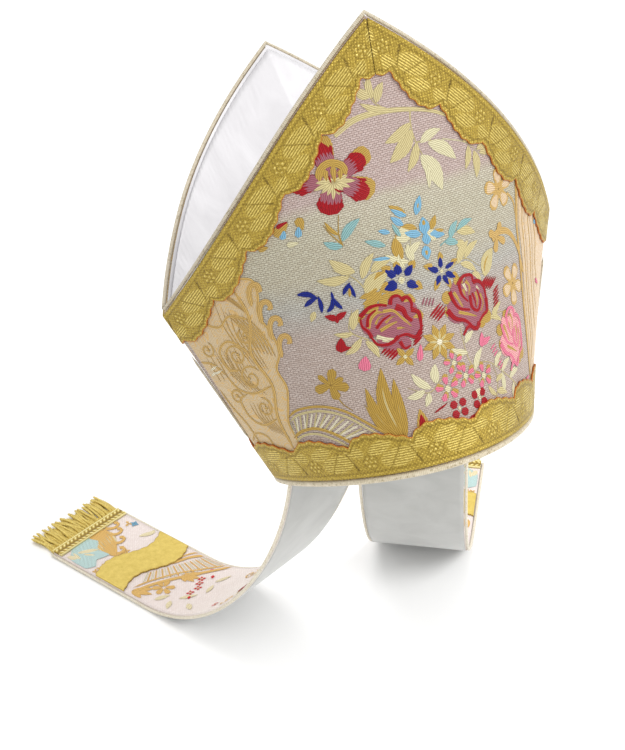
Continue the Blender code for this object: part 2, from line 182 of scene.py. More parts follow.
def add_node(tree, kind, output=0, stops=(), **inputs):
    """Adds a node and gives one of its outputs.

    inputs are its properties and sockets, by name with _ for a space, or by _ and the socket's number.
    Another node's output is linked, and any other value is set. stops are a colour ramp's bands, each
    with its place and its hex code.
    """
    node = tree.nodes.new(f"ShaderNode{kind}")
    for key, value in inputs.items():
        number = key.strip("_")
        if hasattr(node, key):
            setattr(node, key, value)
            continue
        socket = node.inputs[int(number) if number.isdigit() else key.replace("_", " ")]
        if isinstance(value, bpy.types.NodeSocket):
            tree.links.new(value, socket)
        else:
            socket.default_value = value
    if stops:
        bands = node.color_ramp.elements
        while len(bands) < len(stops):
            bands.new(0.5)
        for band, (place, code) in zip(bands, stops):
            band.position, band.color = place, linear(code)
    return node.outputs[output]


def new_material(name, roughness, metallic=0.0, **sockets):
    material = bpy.data.materials.new(name)
    material.use_nodes = True
    shader = material.node_tree.nodes["Principled BSDF"]
    for socket, value in {"Roughness": roughness, "Metallic": metallic, **sockets}.items():
        shader.inputs[socket.replace("_", " ")].default_value = value
    return material, material.node_tree


def finish_with(material, colour, height, strength, deepest):
    """Feeds a colour and a bump, at most so many metres deep, into the shader. Gives the material."""
    tree = material.node_tree
    shader = tree.nodes["Principled BSDF"]
    tree.links.new(colour, shader.inputs["Base Color"])
    normal = add_node(tree, "Bump", Strength=strength, Distance=deepest, Height=height)
    tree.links.new(normal, shader.inputs["Normal"])
    return material


def cloth_place(tree, per_metre, turn=0.0):
    """The place on the flat cloth, in units of which so many make a metre."""
    flat = add_node(tree, "UVMap", uv_map="Flat")
    return add_node(tree, "Mapping", Rotation=(0, 0, turn), Scale=(per_metre, per_metre, 1.0), Vector=flat)


PER_MM = 1000.0
MULTIPLIED = {"data_type": "RGBA", "blend_type": "MULTIPLY"}


def wave_scale(period):
    """Scale of a wave texture whose bands come once every period, in the units of the place that it reads."""
    return 2 * math.pi / (20 * period)


def woven_ground(name, dyes, between, depth):
    """Silk brocade ground: matt weft picks float over the warp like bricks, dyed in soft bands.

    between is the colour of the warp seen between the picks, darkened as painted shade in the gaps, and depth
    is how strongly it shows.
    """
    sheen = {"Sheen_Weight": 0.12, "Sheen_Roughness": 0.5, "Sheen_Tint": linear("F2E6DC")}
    material, tree = new_material(name, 0.62, **sheen)
    # The dye bands run across the cloth. One unit is 270 mm up from the rim, and their edges wander a few mm.
    bands = cloth_place(tree, 3.7)
    wander = add_node(tree, "TexNoise", Scale=7.0, Detail=3.0, Vector=bands)
    height = add_node(tree, "SeparateXYZ", "Y", Vector=bands)
    shifted = add_node(tree, "Math", operation="MULTIPLY_ADD", _0=wander, _1=0.05, _2=height)
    dye = add_node(tree, "ValToRGB", stops=dyes, Fac=shifted)
    # Picks of 2.7 by 1.3 mm with a dark line between them: the warp, with painted shade in the gaps.
    bricks = cloth_place(tree, 1 / (2.7 * MM))
    warp = add_node(tree, "TexNoise", "Color", Scale=0.9, Detail=2.0, Vector=bricks)
    bent = add_node(tree, "VectorMath", operation="SCALE", Scale=0.34, Vector=warp)
    laid = add_node(tree, "VectorMath", operation="ADD", _0=bricks, _1=bent)
    sizes = {"Scale": 1.0, "Mortar_Size": 0.09, "Mortar_Smooth": 0.6, "Brick_Width": 1.0, "Row_Height": 0.47}
    greys = {"Color1": (0.62, 0.62, 0.62, 1), "Color2": (1, 1, 1, 1), "Mortar": (0, 0, 0, 1)}
    picks = add_node(tree, "TexBrick", Vector=laid, **sizes, **greys)
    shade = add_node(tree, "ValToRGB", stops=[(0.0, between), (0.6, "E6E0DA"), (1.0, "FFFFFF")], Fac=picks)
    woven = add_node(tree, "Mix", 2, **MULTIPLIED, _0=depth, _6=dye, _7=shade)
    # Bright flecks where a twisted pick catches the light, about one in every 3 mm.
    flecks = add_node(tree, "TexNoise", Scale=2.2, Detail=3.0, Roughness=0.7, Vector=bricks)
    bright = add_node(tree, "MapRange", From_Min=0.56, From_Max=0.72, To_Max=0.4, Value=flecks)
    colour = add_node(tree, "Mix", 2, data_type="RGBA", _0=bright, _6=woven, _7=linear("F3EEE4"))
    relief = add_node(tree, "Math", operation="MULTIPLY_ADD", _0=flecks, _1=0.5, _2=picks)
    return finish_with(material, colour, relief, 0.7, 0.35 * MM)


def brocade_silk():
    """Brocading silk: glossy floats lie along each petal, a bundle every 1.15 mm, shaded where they dip."""
    material, tree = new_material("brocading_silk", 0.5, Specular_IOR_Level=0.22)
    thread = add_node(tree, "VertexColor", layer_name="Thread")
    strand = add_node(tree, "UVMap", uv_map="Strand")
    bundles = {"bands_direction": "Y", "Scale": wave_scale(1.15 * MM), "Distortion": 1.4}
    floats = add_node(tree, "TexWave", "Fac", Detail=1.0, Detail_Scale=2.0, Vector=strand, **bundles)
    shade = add_node(tree, "ValToRGB", stops=[(0.0, "A49A90"), (0.6, "FFFFFF")], Fac=floats)
    colour = add_node(tree, "Mix", 2, **MULTIPLIED, _0=0.8, _6=thread, _7=shade)
    return finish_with(material, colour, floats, 0.5, 0.25 * MM)


def tone_on_tone(name, cloth, figure):
    """Damask: gold satin-weave scrolls on a duller ground of nearly the same colour, in lines 1 mm wide."""
    material, tree = new_material(name, 0.5, Sheen_Weight=0.1)
    at = cloth_place(tree, PER_MM)
    # Scrolls: contours, 7 mm apart, of a slowly turning field.
    field = add_node(tree, "TexNoise", Scale=0.045, Detail=1.0, Distortion=2.2, Vector=at)
    rings = add_node(tree, "Math", operation="MULTIPLY", _0=field, _1=13.0)
    phase = add_node(tree, "Math", operation="PINGPONG", _0=rings, _1=0.5)
    lines = add_node(tree, "MapRange", From_Min=0.30, From_Max=0.42, Value=phase)
    threads = add_node(tree, "TexWave", "Fac", Scale=wave_scale(1.2), Distortion=1.0, Detail=1.0, Vector=at)
    shade = add_node(tree, "ValToRGB", stops=[(0.0, "D6CEC6"), (0.6, "FFFFFF")], Fac=threads)
    tone = add_node(tree, "Mix", 2, data_type="RGBA", _0=lines, _6=linear(cloth), _7=linear(figure))
    colour = add_node(tree, "Mix", 2, **MULTIPLIED, _0=0.7, _6=tone, _7=shade)
    height = add_node(tree, "Math", operation="MULTIPLY_ADD", _0=threads, _1=0.5, _2=lines)
    return finish_with(material, colour, height, 0.4, 0.3 * MM)


def gold_galloon():
    """Gold galloon: gilt thread woven in relief, painted darker in its hollows and lighter on its ridges,
    with painted glints pick by pick, and a brown sewn edge.
    """
    material, tree = new_material("gilt_woven_galloon", 0.42, 0.45)
    relief, edge, leaf = (
        add_node(tree, "Attribute", "Fac", attribute_name=name) for name in ("Relief", "Stitch", "Ribbed")
    )
    strip = add_node(tree, "UVMap", uv_map="Strip")
    at = cloth_place(tree, PER_MM, 0.6)
    # Gilt threads every 0.9 mm, and glints one or two threads long.
    plain = {"Scale": wave_scale(0.9), "Distortion": 3.0, "Detail": 2.0, "Detail_Scale": 1.5}
    threads = add_node(tree, "TexWave", "Fac", Vector=at, **plain)
    grain = add_node(tree, "TexNoise", Scale=0.7, Detail=4.0, Roughness=0.8, Vector=at)
    # Where a leaf is, ribs run along the strip, 1.5 mm apart. Elsewhere beads 1.7 mm apart lie on the cross.
    # Both are painted darker in their dips and lighter on their crests.
    lengthwise = {"bands_direction": "Y", "Scale": wave_scale(1.5), "Distortion": 1.2}
    ribs = add_node(tree, "TexWave", "Fac", Detail=1.0, Detail_Scale=2.0, Vector=strip, **lengthwise)
    rib = add_node(tree, "ValToRGB", stops=[(0.05, "98822E"), (0.45, "B8A046"), (0.9, "E0CC74")], Fac=ribs)
    crossed = add_node(tree, "Mapping", Rotation=(0, 0, 0.8), Vector=strip)
    rows = {"Scale": wave_scale(1.7), "Distortion": 1.5, "Detail": 1.0, "Vector": crossed}
    one, other = (add_node(tree, "TexWave", "Fac", bands_direction=way, **rows) for way in ("X", "Y"))
    beads = add_node(tree, "Math", operation="MULTIPLY", _0=one, _1=other)
    bead = add_node(tree, "ValToRGB", stops=[(0.0, "D4CAA8"), (0.5, "FFFFFF")], Fac=beads)
    # Painted shade and highlight: the gilt is darker where the relief is low, in hollows, grooves and cut
    # veins, and lighter on raised ridges and beads.
    relief_shaded_gilding = [(0.0, "665212"), (0.25, "968028"), (0.6, "C8B04C"), (1.0, "F6E89A")]
    gilt = add_node(tree, "ValToRGB", stops=relief_shaded_gilding, Fac=relief)
    beaded = add_node(tree, "Mix", 2, **MULTIPLIED, _0=0.7, _6=gilt, _7=bead)
    figured = add_node(tree, "Mix", 2, data_type="RGBA", _0=leaf, _6=beaded, _7=rib)
    glint = add_node(
        tree, "ValToRGB", stops=[(0.34, "948652"), (0.48, "DAD2B2"), (0.60, "FFFFFF")], Fac=grain,
    )
    # Painted highlights: the glints of the grain multiplied into the gilt.
    worn = add_node(tree, "Mix", 2, **MULTIPLIED, _0=0.75, _6=figured, _7=glint)
    colour = add_node(tree, "Mix", 2, data_type="RGBA", _0=edge, _6=worn, _7=linear("B0621C"))
    ridges = add_node(tree, "Mix", data_type="FLOAT", _0=leaf, _2=beads, _3=ribs)
    weave = add_node(tree, "Math", operation="MULTIPLY_ADD", _0=threads, _1=0.6, _2=grain)
    height = add_node(tree, "Math", operation="MULTIPLY_ADD", _0=ridges, _1=1.6, _2=weave)
    return finish_with(material, colour, height, 0.6, 0.3 * MM)


def gilt_ribbon():
    """Gilt ribbon: flat bright threads in a close plain weave, nearly smooth, oversewn in brown."""
    material, tree = new_material("gilt_ribbon", 0.42, 0.25)
    edge = add_node(tree, "Attribute", "Fac", attribute_name="Stitch")
    at = cloth_place(tree, PER_MM, 0.5)
    # Threads every 0.8 mm, brighter and duller in patches of about 5 mm.
    threads = add_node(tree, "TexWave", "Fac", Scale=wave_scale(0.8), Distortion=1.5, Detail=2.0, Vector=at)
    patches = add_node(tree, "TexNoise", Scale=0.2, Detail=4.0, Roughness=0.7, Vector=at)
    tone = add_node(tree, "ValToRGB", stops=[(0.35, "D8BE5A"), (0.65, "E8D070")], Fac=patches)
    shade = add_node(tree, "ValToRGB", stops=[(0.0, "DCD2B8"), (0.6, "FFFFFF")], Fac=threads)
    woven = add_node(tree, "Mix", 2, **MULTIPLIED, _0=0.7, _6=tone, _7=shade)
    colour = add_node(tree, "Mix", 2, data_type="RGBA", _0=edge, _6=woven, _7=linear("8C6420"))
    return finish_with(material, colour, threads, 0.4, 0.25 * MM)


def piping_cloth(name, tones):
    """Taffeta over a cord, with fine pulls across it and gold and silver flecks."""
    material, tree = new_material(name, 0.5, Sheen_Weight=0.1)
    at = cloth_place(tree, PER_MM)
    # Pulls every 1.1 mm, and a fleck about every 2 mm.
    pulls = add_node(tree, "TexWave", "Fac", Scale=wave_scale(1.1), Distortion=4.0, Detail=2.0, Vector=at)
    flecks = add_node(tree, "TexVoronoi", Scale=0.55, Randomness=1.0, Vector=at)
    tone = add_node(tree, "ValToRGB", stops=tones, Fac=flecks)
    shade = add_node(tree, "ValToRGB", stops=[(0.0, "CEC6BA"), (0.6, "FFFFFF")], Fac=pulls)
    colour = add_node(tree, "Mix", 2, **MULTIPLIED, _0=0.6, _6=tone, _7=shade)
    return finish_with(material, colour, pulls, 0.35, 0.25 * MM)


def plain_satin(name, crease_shade, flat):
    """Satin: a smooth bright face, faintly wrinkled and gathered in fine puckers beside the horn's seam, with
    painted shade in the wrinkles and puckers.
    """
    material, tree = new_material(name, 0.40, Sheen_Weight=0.3, Sheen_Roughness=0.4)
    creases = add_node(
        tree, "TexNoise", Scale=1.0, Detail=3.0, Distortion=0.6, Vector=cloth_place(tree, 40.0),
    )
    # The hem map counts millimetres along the horn's edge and in from it. Puckers come every 2.4 mm, 2 to
    # 11 mm in.
    hem = add_node(tree, "UVMap", uv_map="Hem")
    inset = add_node(tree, "SeparateXYZ", "Y", Vector=hem)
    puckers = add_node(tree, "TexWave", "Fac", Scale=wave_scale(2.4), Distortion=1.0, Detail=1.0, Vector=hem)
    begins = add_node(tree, "MapRange", From_Min=1.0, From_Max=3.0, Value=inset)
    ends = add_node(tree, "MapRange", From_Min=12.0, From_Max=7.0, Value=inset)
    where = add_node(tree, "Math", operation="MULTIPLY", _0=begins, _1=ends)
    gathered = add_node(tree, "Math", operation="MULTIPLY", _0=where, _1=puckers)
    # Painted shade: greyer where the noise makes soft creases, which it also bumps.
    white = add_node(tree, "ValToRGB", stops=[(0.25, crease_shade), (0.7, flat)], Fac=creases)
    shade = add_node(tree, "ValToRGB", stops=[(0.0, "FFFFFF"), (1.0, "EFEFF1")], Fac=gathered)
    colour = add_node(tree, "Mix", 2, **MULTIPLIED, _0=1.0, _6=white, _7=shade)
    height = add_node(tree, "Math", operation="MULTIPLY_ADD", _0=gathered, _1=0.16, _2=creases)
    return finish_with(material, colour, height, 0.22, 2.0 * MM)


def plaited_braid():
    """Gilt braid: a flat plait of bright thread, with a painted highlight where a strand lies over and
    painted shade where it dips.
    """
    material, tree = new_material("gilt_braid", 0.4, 0.2)
    relief = add_node(tree, "Attribute", "Fac", attribute_name="Relief")
    # Single threads of the plait are 0.7 mm wide.
    at = cloth_place(tree, PER_MM, 0.7)
    threads = add_node(tree, "TexWave", "Fac", Scale=wave_scale(0.7), Distortion=1.0, Vector=at)
    # Painted shade and highlight: darker where the plait's relief is low, paler where it is high.
    tone = add_node(tree, "ValToRGB", stops=[(0.0, "8C7024"), (0.4, "CDB250"), (0.8, "F6ECAE")], Fac=relief)
    shade = add_node(tree, "ValToRGB", stops=[(0.0, "D2C8AA"), (0.6, "FFFFFF")], Fac=threads)
    colour = add_node(tree, "Mix", 2, **MULTIPLIED, _0=0.7, _6=tone, _7=shade)
    return finish_with(material, colour, threads, 0.4, 0.25 * MM)


def bullion():
    """Gilt bullion thread: a wire-like yarn whose twist shows every millimetre, painted darker in its grooves
    and lighter on its crowns.
    """
    material, tree = new_material("gilt_bullion_thread", 0.38, 0.3)
    at = cloth_place(tree, PER_MM, 0.7)
    twist = add_node(tree, "TexWave", "Fac", Scale=wave_scale(1.0), Distortion=0.4, Vector=at)
    colour = add_node(tree, "ValToRGB", stops=[(0.0, "A68424"), (0.5, "DABC54"), (1.0, "F6E690")], Fac=twist)
    return finish_with(material, colour, twist, 0.5, 0.3 * MM)


def pale_paper():
    """Matt paper for the floor, almost white, with a faint mottle."""
    material, tree = new_material("pale_matt_paper", 0.85)
    mottle = add_node(tree, "TexNoise", Scale=40.0, Detail=2.0)
    colour = add_node(tree, "ValToRGB", stops=[(0.3, "F6F6F6"), (0.7, "F9F9F9")], Fac=mottle)
    tree.links.new(colour, tree.nodes["Principled BSDF"].inputs["Base Color"])
    return material


# The brocade's dyes, by share of the panel's height, and its threads
DYE_BANDS = [
    (0.08, "AF9E94"),
    (0.36, "AFA097"),
    (0.43, "A9A8A0"),
    (0.50, "B2AD98"),
    (0.585, "B4B09A"),
    (0.635, "B8B29E"),
    (0.66, "B4A19B"),
    (0.98, "B8A49E"),
]
PALE_BANDS = [(0.0, "F3EAE6"), (0.5, "F3EEE8"), (1.0, "F3E8E4")]
THREADS = {
    "crimson": "980614",
    "mauve": "965A66",
    "rose": "D4708A",
    "pale_rose": "DC9A9C",
    "scarlet": "D82A2E",
    "cobalt": "0A1C76",
    "sky": "74A6C2",
    "pale_sky": "C0DCDA",
    "teal": "82AAAA",
    "gold": "B09044",
    "bright_gold": "E4BA6E",
    "ochre": "A8883A",
    "amber": "C09E5C",
    "straw": "C2B584",
    "cream": "CCC6A2",
    "ivory": "E0DAC0",
    "pale_straw": "ECE0B8",
    "blush": "D2BA98",
}


# Form

def horn_half_width(share):
    """Half width of a horn at a share of its height above the shoulders."""
    swell = ARCH_SWELL * 4 + ARCH_SKEW * 8 * (1 - 2 * share)
    return SHOULDER_HALF_WIDTH * (1 - share) * (1 + swell * share)


def half_width(height):
    """Half width of a panel: straight to the shoulder, then the horn's arch."""
    share = np.clip((height - SHOULDER_HEIGHT) / (PEAK_HEIGHT - SHOULDER_HEIGHT), 0, 1)
    body = mix(RIM_HALF_WIDTH, SHOULDER_HALF_WIDTH, height / SHOULDER_HEIGHT)
    return np.where(height <= SHOULDER_HEIGHT, body, horn_half_width(share))


def reach(height, face):
    """How far the middle line of a face stands out from the plane of the seams, on one parabola."""
    peak_reach = FRONT_PEAK_REACH if face == FRONT else BACK_PEAK_REACH
    to_peak = PEAK_HEIGHT - SHOULDER_HEIGHT
    rim = RIM_DEPTH * (height - SHOULDER_HEIGHT) * (height - PEAK_HEIGHT) / (SHOULDER_HEIGHT * PEAK_HEIGHT)
    shoulder = SHOULDER_DEPTH * height * (PEAK_HEIGHT - height) / (SHOULDER_HEIGHT * to_peak)
    peak = peak_reach * height * (height - SHOULDER_HEIGHT) / (PEAK_HEIGHT * to_peak)
    return rim + shoulder + peak


def bow(x, height, face):
    """How far the cloth falls back from the middle line, at x from it."""
    seam = half_width(np.minimum(height, SHOULDER_HEIGHT))
    share = np.minimum(1.0, np.abs(x) / seam)
    roundness = RIM_ROUNDNESS * np.clip(1 - height / SHOULDER_HEIGHT, 0, 1)
    low = reach(height, face) * ((1 - roundness) * share**2 + roundness * (1 - np.sqrt(1 - share**2)))
    rise = (height - SHOULDER_HEIGHT) / (PEAK_HEIGHT - SHOULDER_HEIGHT)
    high = mix(SHOULDER_DEPTH / SHOULDER_HALF_WIDTH**2, PEAK_BOW, rise) * x**2
    return np.where(height <= SHOULDER_HEIGHT, low, high)


def hat_tilt():
    """The turn from the upright hat to the worn one."""
    back = Matrix.Rotation(math.radians(-TILT_BACK_DEG), 3, "X")
    return Matrix.Rotation(math.radians(TILT_SIDE_DEG), 3, "Y") @ back


TILT = np.array(hat_tilt())
# Past the horn's edge the skin goes on to here, so that what lies near the edge has a place
WIDEST = 0.16
# Over this length the skin's slopes are measured
STEP = 0.0004
TABLE_ROWS, TABLE_COLUMNS, TABLE_STEPS, SEAM_STEPS = 90, 200, 240, 120

EASE_HEIGHT = 0.0003
CREASE_DEPTH = 0.0005
CREASE_X, CREASE_UP = -0.078, 0.068
CREASE_WIDTH, CREASE_LENGTH = 0.005, 0.032

CURL_STEPS = 400
STRAIGHT_BEYOND = 0.3  # length of the flat run after the curl, more than the lappet needs


class Panel:
    """One face of the hat: turns places on the flat cloth into points of the worn hat."""

    def __init__(self, face):
        self.face = face
        self.name = FACE_NAMES[face]
        self.tables = [self.table(0.0, SHOULDER_HEIGHT), self.table(SHOULDER_HEIGHT + 1e-9, PEAK_HEIGHT)]

    def table(self, low, high):
        """Heights, cloth lengths out to the limit, and x at even shares of that length."""
        heights = np.linspace(low, high, TABLE_ROWS)
        shares, lengths, rows = np.linspace(0, 1, TABLE_COLUMNS), [], []
        for height in heights:
            limit = half_width(height) if height <= SHOULDER_HEIGHT else WIDEST
            xs = limit * np.sin(np.linspace(0, math.pi / 2, TABLE_STEPS))
            run = np.concatenate([[0], np.cumsum(np.hypot(np.diff(xs), np.diff(bow(xs, height, self.face))))])
            lengths.append(run[-1])
            rows.append(np.interp(shares * run[-1], run, xs))
        return heights, np.array(lengths), np.array(rows)

    def x_of(self, across, up):
        x = np.zeros(len(across))
        for number, (heights, lengths, rows) in enumerate(self.tables):
            here = (up > SHOULDER_HEIGHT) == bool(number)
            row = np.interp(up[here], heights, np.arange(len(heights)))
            r = np.minimum(row.astype(int), len(heights) - 2)
            f = row - r
            length = mix(lengths[r], lengths[r + 1], f)
            column = np.clip(np.abs(across[here]) / length, 0, 1) * (rows.shape[1] - 1)
            c = np.minimum(column.astype(int), rows.shape[1] - 2)
            g = column - c
            x[here] = mix(mix(rows[r, c], rows[r, c + 1], g), mix(rows[r + 1, c], rows[r + 1, c + 1], g), f)
        return np.sign(across) * x

    def seam_at(self, up):
        """Length along the cloth from the centre line to the side seam or the horn's edge."""
        samples = np.linspace(0, 1, SEAM_STEPS)
        found = []
        for height in np.atleast_1d(up):
            xs = half_width(height) * np.sin(samples * math.pi / 2)
            found.append(float(np.hypot(np.diff(xs), np.diff(bow(xs, height, self.face))).sum()))
        return np.array(found)

    def ease(self, x, up):
        """How far the cloth stands off its board: slow waves, and an upright crease beside the left seam."""
        waves = EASE_HEIGHT * np.sin(x * 52 + up * 21) * np.sin(up * 47 + 0.6)
        lengthwise = bump_at(up - CREASE_UP, CREASE_LENGTH)
        return waves - CREASE_DEPTH * bump_at(x - CREASE_X, CREASE_WIDTH) * lengthwise

    def upright(self, x, up, lift):
        """Points lifted off the skin, in the hat's own upright frame."""
        seam = np.where(up <= SHOULDER_HEIGHT, half_width(up), WIDEST)
        left, right = np.maximum(x - STEP, -seam), np.minimum(x + STEP, seam)
        slope_x = (bow(right, up, self.face) - bow(left, up, self.face)) / (right - left)
        narrow = np.where(up <= SHOULDER_HEIGHT, half_width(up + STEP) / half_width(up), 1.0)
        fall = (reach(up + STEP, self.face) - bow(x * narrow, up + STEP, self.face)) - (
            reach(up, self.face) - bow(x, up, self.face)
        )
        slope_up = (fall + slope_x * x * (narrow - 1)) / STEP
        normal = np.stack([slope_x, np.full_like(x, self.face), -slope_up], 1)
        normal /= np.linalg.norm(normal, axis=1)[:, None]
        skin = np.stack([x, self.face * (reach(up, self.face) - bow(x, up, self.face)), up], 1)
        points = skin + normal * (np.asarray(lift) + self.ease(x, up))[..., None]
        beyond = self.face * points[:, 1] < SEAM_GAP / 2
        points[beyond, 1] = self.face * SEAM_GAP / 2
        return points

    def place(self, across, up, lift):
        across, up = np.asarray(across, float), np.asarray(up, float)
        lift = np.broadcast_to(np.asarray(lift, float), across.shape)
        return self.upright(self.x_of(across, up), up, lift) @ TILT.T


class Lappet:
    """One lappet: turns places on its flat strip into points of the hanging, curling strip."""

    def __init__(self, side):
        self.side = side
        self.name = SIDE_NAMES[side]
        self.skin = Panel(BACK)
        turn = math.radians(LAPPET_HEADING_DEG)
        self.heading = np.array((side * math.sin(turn), math.cos(turn), 0.0))
        self.inward = np.array((-side * math.cos(turn), math.sin(turn), 0.0))
        self.outer_top = self.rim_points(np.zeros(1))[0]
        top, rest = self.outer_top[2], LAPPET_THICKNESS - SURFACE_DROP
        p0, p1 = np.array((0.0, top)), np.array((0.0, top - CURL_DROP))
        p2, p3 = np.array((CURL_REACH - CURL_RUN, rest)), np.array((CURL_REACH, rest))
        t = np.linspace(0, 1, CURL_STEPS)[:, None]
        curl = (1 - t) ** 3 * p0 + 3 * (1 - t) ** 2 * t * p1 + 3 * (1 - t) * t**2 * p2 + t**3 * p3
        run = run_along(curl)
        self.lengths = np.append(run, run[-1] + STRAIGHT_BEYOND)
        self.profile = np.vstack([curl, p3 + np.array((STRAIGHT_BEYOND, 0.0))])

    def rim_points(self, across):
        x = self.side * mix(LAPPET_RIM_SHARE * RIM_HALF_WIDTH, LAPPET_MIDDLE_GAP / 2, across)
        points = self.skin.upright(x, np.zeros_like(x), np.full_like(x, -PANEL_THICKNESS / 2))
        points[:, 2] = -2 * RIM_PIPING_RADIUS - 3 * GAP
        return points @ TILT.T

    def place(self, across, along, lift):
        """across runs from the outer edge, and along from the rim, both in metres."""
        across, along = np.asarray(across, float), np.asarray(along, float)
        lift = np.broadcast_to(np.asarray(lift, float), across.shape)

        def at(length):
            return np.stack([np.interp(length, self.lengths, self.profile[:, k]) for k in (0, 1)], 1)

        here, slope = at(along), at(along + 0.002) - at(along - 0.002)
        slope /= np.maximum(np.linalg.norm(slope, axis=1), 1e-9)[:, None]
        flat = self.outer_top + self.inward * across[:, None]
        fade = smooth(1.0 - along / TOP_FADE_LENGTH)
        points = flat + self.heading * here[:, :1]
        bend = (self.rim_points(across / LAPPET_WIDTH) - flat) * fade[:, None]
        points[:, 2] = here[:, 1]
        points += bend
        out = self.heading * -slope[:, 1:] + np.array((0, 0, 1)) * slope[:, :1]
        return points + out * lift[:, None]


# Meshes

def make_piece(
    name, points, faces, materials, uv=None, values=None, slots=None, slot_name=None, stands_for=(),
):
    """A mesh piece on the frame. uv maps and values are given per point."""
    mesh = bpy.data.meshes.new(name)
    mesh.from_pydata([tuple(p) for p in points], [], [tuple(int(i) for i in f) for f in faces])
    for material in materials:
        mesh.materials.append(material)
    if slots is not None:
        mesh.polygons.foreach_set("material_index", np.asarray(slots, np.int32))
    corners = corner_points(mesh)
    for label, coordinates in (uv or {}).items():
        layer = mesh.uv_layers.new(name=label)
        layer.data.foreach_set("uv", np.asarray(coordinates, np.float32)[corners].ravel())
    for label, numbers in (values or {}).items():
        numbers = np.asarray(numbers, np.float32)
        kind = "FLOAT_COLOR" if numbers.ndim == 2 else "FLOAT"
        attribute = mesh.attributes.new(label, kind, "POINT")
        attribute.data.foreach_set("color" if numbers.ndim == 2 else "value", numbers.ravel())
    mesh.shade_smooth()
    mesh.validate()
    piece = bpy.data.objects.new(name, mesh)
    bpy.context.scene.collection.objects.link(piece)
    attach(piece, "root")
    if stands_for:
        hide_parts(*stands_for)
    return piece


def grid_faces(rows, columns, start=0, flip=False):
    faces = []
    for i in range(rows - 1):
        for j in range(columns - 1):
            a = start + i * columns + j
            quad = (a, a + 1, a + columns + 1, a + columns)
            faces.append(quad[::-1] if flip else quad)
    return faces


def shell_faces(rows, columns, flip):
    """Both faces of a wall and its four edges. Point k of the under side is rows * columns further on."""
    under = rows * columns
    top = grid_faces(rows, columns, 0, flip)
    below = grid_faces(rows, columns, under, not flip)
    loop = list(range(columns))
    loop += [i * columns + columns - 1 for i in range(1, rows)]
    loop += [(rows - 1) * columns + j for j in range(columns - 2, -1, -1)]
    loop += [i * columns for i in range(rows - 2, 0, -1)]
    rim = []
    for a, b in zip(loop, loop[1:] + loop[:1]):
        quad = (b, a, a + under, b + under)
        rim.append(quad[::-1] if flip else quad)
    return top, below, rim


def wall(
    name, place, across, up, lift_top, lift_under, materials, flip=False, under_slot=0, rim_slot=0, **extra,
):
    """A closed wall over a grid of flat places: across and up are (rows, columns) arrays."""
    rows, columns = across.shape
    a, u = across.ravel(), up.ravel()
    points = np.vstack([place(a, u, np.ravel(lift_top)), place(a, u, np.ravel(lift_under))])
    top, below, rim = shell_faces(rows, columns, flip)
    slots = [0] * len(top) + [under_slot] * len(below) + [rim_slot] * len(rim)
    flat = np.tile(np.stack([a, u], 1), (2, 1))
    values = {k: np.tile(np.ravel(v), 2) for k, v in extra.pop("values", {}).items()}
    maps = {k: np.tile(v.reshape(-1, 2), (2, 1)) for k, v in extra.pop("maps", {}).items()}
    return make_piece(
        name, points, top + below + rim, materials, {"Flat": flat, **maps}, values, slots, **extra,
    )


def cord(name, route, radius, material, sides=10, **extra):
    """A cord along a route of points, closed at its ends unless the route is a ring.

    It is round, or laid in three strands that turn round it twist times a metre.
    """
    ring, twist = extra.pop("ring", False), extra.pop("twist", 0.0)
    route = np.asarray(route, float)
    ahead = np.roll(route, -1, 0) - np.roll(route, 1, 0)
    if not ring:
        ahead[0], ahead[-1] = route[1] - route[0], route[-1] - route[-2]
    ahead /= np.linalg.norm(ahead, axis=1)[:, None]
    side = np.cross(ahead[0], (0.3, 0.5, 0.8))
    rings, flat = [], []
    radii = np.broadcast_to(np.asarray(radius, float), (len(route),))
    for point, forward, length, r in zip(route, ahead, run_along(route), radii):
        side = side - forward * (side @ forward)
        side /= np.linalg.norm(side)
        over = np.cross(forward, side)
        for k in range(sides):
            turn = 2 * math.pi * k / sides
            swell = 0.17 * math.cos(3 * (turn - 2 * math.pi * twist * length)) if twist else 0.0
            rings.append(point + (side * math.cos(turn) + over * math.sin(turn)) * r * (1 + swell))
            flat.append((length, r * turn))
    faces = []
    count = len(route)
    for i in range(count if ring else count - 1):
        for k in range(sides):
            a, b = i * sides + k, i * sides + (k + 1) % sides
            c, d = (i + 1) % count * sides + (k + 1) % sides, (i + 1) % count * sides + k
            faces.append((a, b, c, d))
    if not ring:
        faces.append(tuple(range(sides))[::-1])
        faces.append(tuple((count - 1) * sides + k for k in range(sides)))
    if name is None:
        return rings, faces, flat
    return make_piece(name, rings, faces, [material], {"Flat": flat}, **extra)


# Woven pattern

def curve_through(points, step):
    """A smooth line through points, resampled about every step."""
    points = np.asarray(points, float)
    if len(points) == 2:
        fine = mix(points[:1], points[1:], np.linspace(0, 1, 12)[:, None])
    else:
        padded = np.vstack([2 * points[0] - points[1], points, 2 * points[-1] - points[-2]])
        parts = []
        for p0, p1, p2, p3 in zip(padded, padded[1:], padded[2:], padded[3:]):
            t = np.linspace(0, 1, 14, endpoint=False)[:, None]
            second, third = 2 * p0 - 5 * p1 + 4 * p2 - p3, 3 * p1 - p0 - 3 * p2 + p3
            parts.append(0.5 * (2 * p1 + (p2 - p0) * t + second * t**2 + third * t**3))
        fine = np.vstack([*parts, points[-1:]])
    run = run_along(fine)
    count = max(3, int(run[-1] / step) + 1)
    wanted = np.linspace(0, run[-1], count)
    return np.stack([np.interp(wanted, run, fine[:, k]) for k in (0, 1)], 1), wanted


